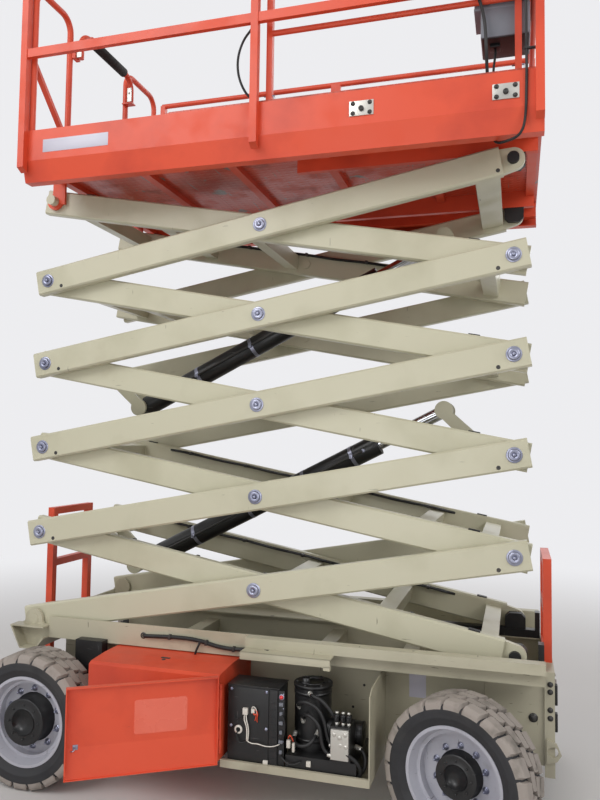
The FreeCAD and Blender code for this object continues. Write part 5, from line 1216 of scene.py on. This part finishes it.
# control box: lower housing with a dark base, lever, switches and stop button on the sloping face
controlLook = {"low": (1.236, -0.754, 4.030), "high": (1.496, -0.544, 4.330), "hang": 0.144, "slope": 0.110}
x0, y0, z0 = controlLook["low"]
x1, y1, z1 = controlLook["high"]
hangLow = z0 - controlLook["hang"]
skirt = bmesh.new()
addBox(skirt, (x0 + 0.030, y0 - 0.002, hangLow), (x1 + 0.002, y1 + 0.002, z0 + 0.012), 0.005)
addBox(skirt, (x0 - 0.002, y0 - 0.003, z0 - 0.003), (x1 + 0.003, y1 + 0.003, z0 + 0.010), 0.002)
keepPiece("controlSkirt", skirt, "greyPlastic", "roll_out_deck")
base = bmesh.new()
addBox(base, (x0 + 0.036, y0 + 0.004, hangLow - 0.004), (x1 - 0.004, y1 - 0.004, hangLow + 0.003), 0.001)
addBox(base, (x0 + 0.07, y0 + 0.06, hangLow - 0.018), (x0 + 0.12, y0 + 0.12, hangLow - 0.003), 0.004)
keepPiece("controlBase", base, "blackPaint", "roll_out_deck")
half = controlLook["slope"] / 2
slopePlace = aim((x0 + half, (y0 + y1) / 2, z1 - half), (-1, 0, 1))
lever = (
    (0.020, 0), (0.020, 0.006), (0.013, 0.014), (0.006, 0.022), (0.006, 0.052),
    (0.011, 0.056), (0.013, 0.070), (0.009, 0.080), (0, 0.082),
)
switch = ((0.007, 0), (0.007, 0.003), (0.003, 0.004), (0.0028, 0.016), (0, 0.018))
button = ((0.008, 0), (0.008, 0.010), (0.017, 0.012), (0.018, 0.018), (0.014, 0.022), (0, 0.0235))
knobs = bmesh.new()
turned(knobs, lever, slopePlace @ Matrix.Translation((0.055, 0.0, 0.0)), 18)
for dx in (-0.070, -0.045, -0.020):
    turned(knobs, switch, slopePlace @ Matrix.Translation((dx, 0.02, 0.0)), 10)
keepPiece("controlKnobs", knobs, "blackRubber", "roll_out_deck")
stopKnob = bmesh.new()
turned(stopKnob, button, slopePlace @ Matrix.Translation((-0.045, -0.025, 0.0)), 24)
keepPiece("stopKnob", stopKnob, "redLens", "roll_out_deck")
print("stage 14: platform dressed")

# plain studio: pale floor that fades into the backdrop, soft lamps and an even sky
stageLook = {
    "floor": (0.86, 0.85, 0.84),
    "floorHalf": 30.0,
    "fade": (2.6, 8.5),  # metres from the middle, where the floor turns into the backdrop
    "sky": (0.93, 0.93, 0.94),
    "skyStrength": 0.38,
    "lamps": (  # place, size, power, aimed at
        ((-3.5, -6.5, 7.5), 5.0, 350.0, (0.0, 0.0, 1.8)),
        ((6.5, -4.5, 5.5), 4.0, 210.0, (0.3, 0.0, 2.0)),
        ((1.0, 7.0, 6.5), 5.0, 200.0, (0.0, 0.0, 2.5)),
        ((0.0, -4.4, 1.7), 2.0, 28.0, (0.0, 0.0, 3.4)),
    ),
}


def seenMask(tree):
    # 1 for the camera and for reflections, where the backdrop shows as written
    path = tree.nodes.new("ShaderNodeLightPath")
    return mathOf(tree, "MAXIMUM", path.outputs["Is Camera Ray"], path.outputs["Is Glossy Ray"])


def mixShaders(tree, mask, first, second, target):
    mix = tree.nodes.new("ShaderNodeMixShader")
    tree.links.new(mask, mix.inputs["Fac"])
    tree.links.new(first, mix.inputs[1])
    tree.links.new(second, mix.inputs[2])
    tree.links.new(mix.outputs["Shader"], tree.nodes[target].inputs["Surface"])


floorMesh = bmesh.new()
bmesh.ops.create_grid(floorMesh, x_segments=8, y_segments=8, size=stageLook["floorHalf"])
floorData = bpy.data.meshes.new("studioFloor")
floorMesh.to_mesh(floorData)
floorMesh.free()
floor = bpy.data.objects.new("studioFloor", floorData)
bpy.context.scene.collection.objects.link(floor)
floorFinish = bpy.data.materials.new("studioFloor")
floorFinish.use_nodes = True
floorTree = floorFinish.node_tree
floorShader = floorTree.nodes["Principled BSDF"]
floorShader.inputs["Base Color"].default_value = linear(stageLook["floor"])
floorShader.inputs["Roughness"].default_value = 0.75
floorCoords = floorTree.nodes.new("ShaderNodeTexCoord")
floorReach = floorTree.nodes.new("ShaderNodeVectorMath")
floorReach.operation = "LENGTH"
floorFade = floorTree.nodes.new("ShaderNodeMapRange")
floorFade.interpolation_type = "SMOOTHSTEP"
floorFade.inputs["From Min"].default_value, floorFade.inputs["From Max"].default_value = stageLook["fade"]
floorTree.links.new(floorCoords.outputs["Object"], floorReach.inputs[0])
floorTree.links.new(floorReach.outputs["Value"], floorFade.inputs["Value"])
backdrop = floorTree.nodes.new("ShaderNodeEmission")
backdrop.inputs["Color"].default_value = linear(stageLook["sky"])
backdrop.inputs["Strength"].default_value = 1.0
fadeMask = mathOf(floorTree, "MULTIPLY", seenMask(floorTree), floorFade.outputs["Result"])
mixShaders(floorTree, fadeMask, floorShader.outputs["BSDF"], backdrop.outputs["Emission"], "Material Output")
floorData.materials.append(floorFinish)

world = bpy.data.worlds.new("studioSky")
bpy.context.scene.world = world
world.use_nodes = True
skyTree = world.node_tree
sky = skyTree.nodes["Background"]
sky.inputs["Color"].default_value = linear(stageLook["sky"])
sky.inputs["Strength"].default_value = stageLook["skyStrength"]
whiteSky = skyTree.nodes.new("ShaderNodeBackground")
whiteSky.inputs["Color"].default_value = linear(stageLook["sky"])
whiteSky.inputs["Strength"].default_value = 1.0
mixShaders(skyTree, seenMask(skyTree), sky.outputs["Background"], whiteSky.outputs["Background"], "World Output")
for number, (place, size, power, target) in enumerate(stageLook["lamps"]):
    lampData = bpy.data.lights.new(f"softLamp{number}", "AREA")
    lampData.shape = "SQUARE"
    lampData.size = size
    lampData.energy = power
    lamp = bpy.data.objects.new(f"softLamp{number}", lampData)
    lamp.location = place
    lamp.rotation_euler = (Vector(target) - Vector(place)).to_track_quat("-Z", "Y").to_euler()
    bpy.context.scene.collection.objects.link(lamp)
bpy.context.scene.view_settings.view_transform = "Standard"
print("stage 15: studio lit")
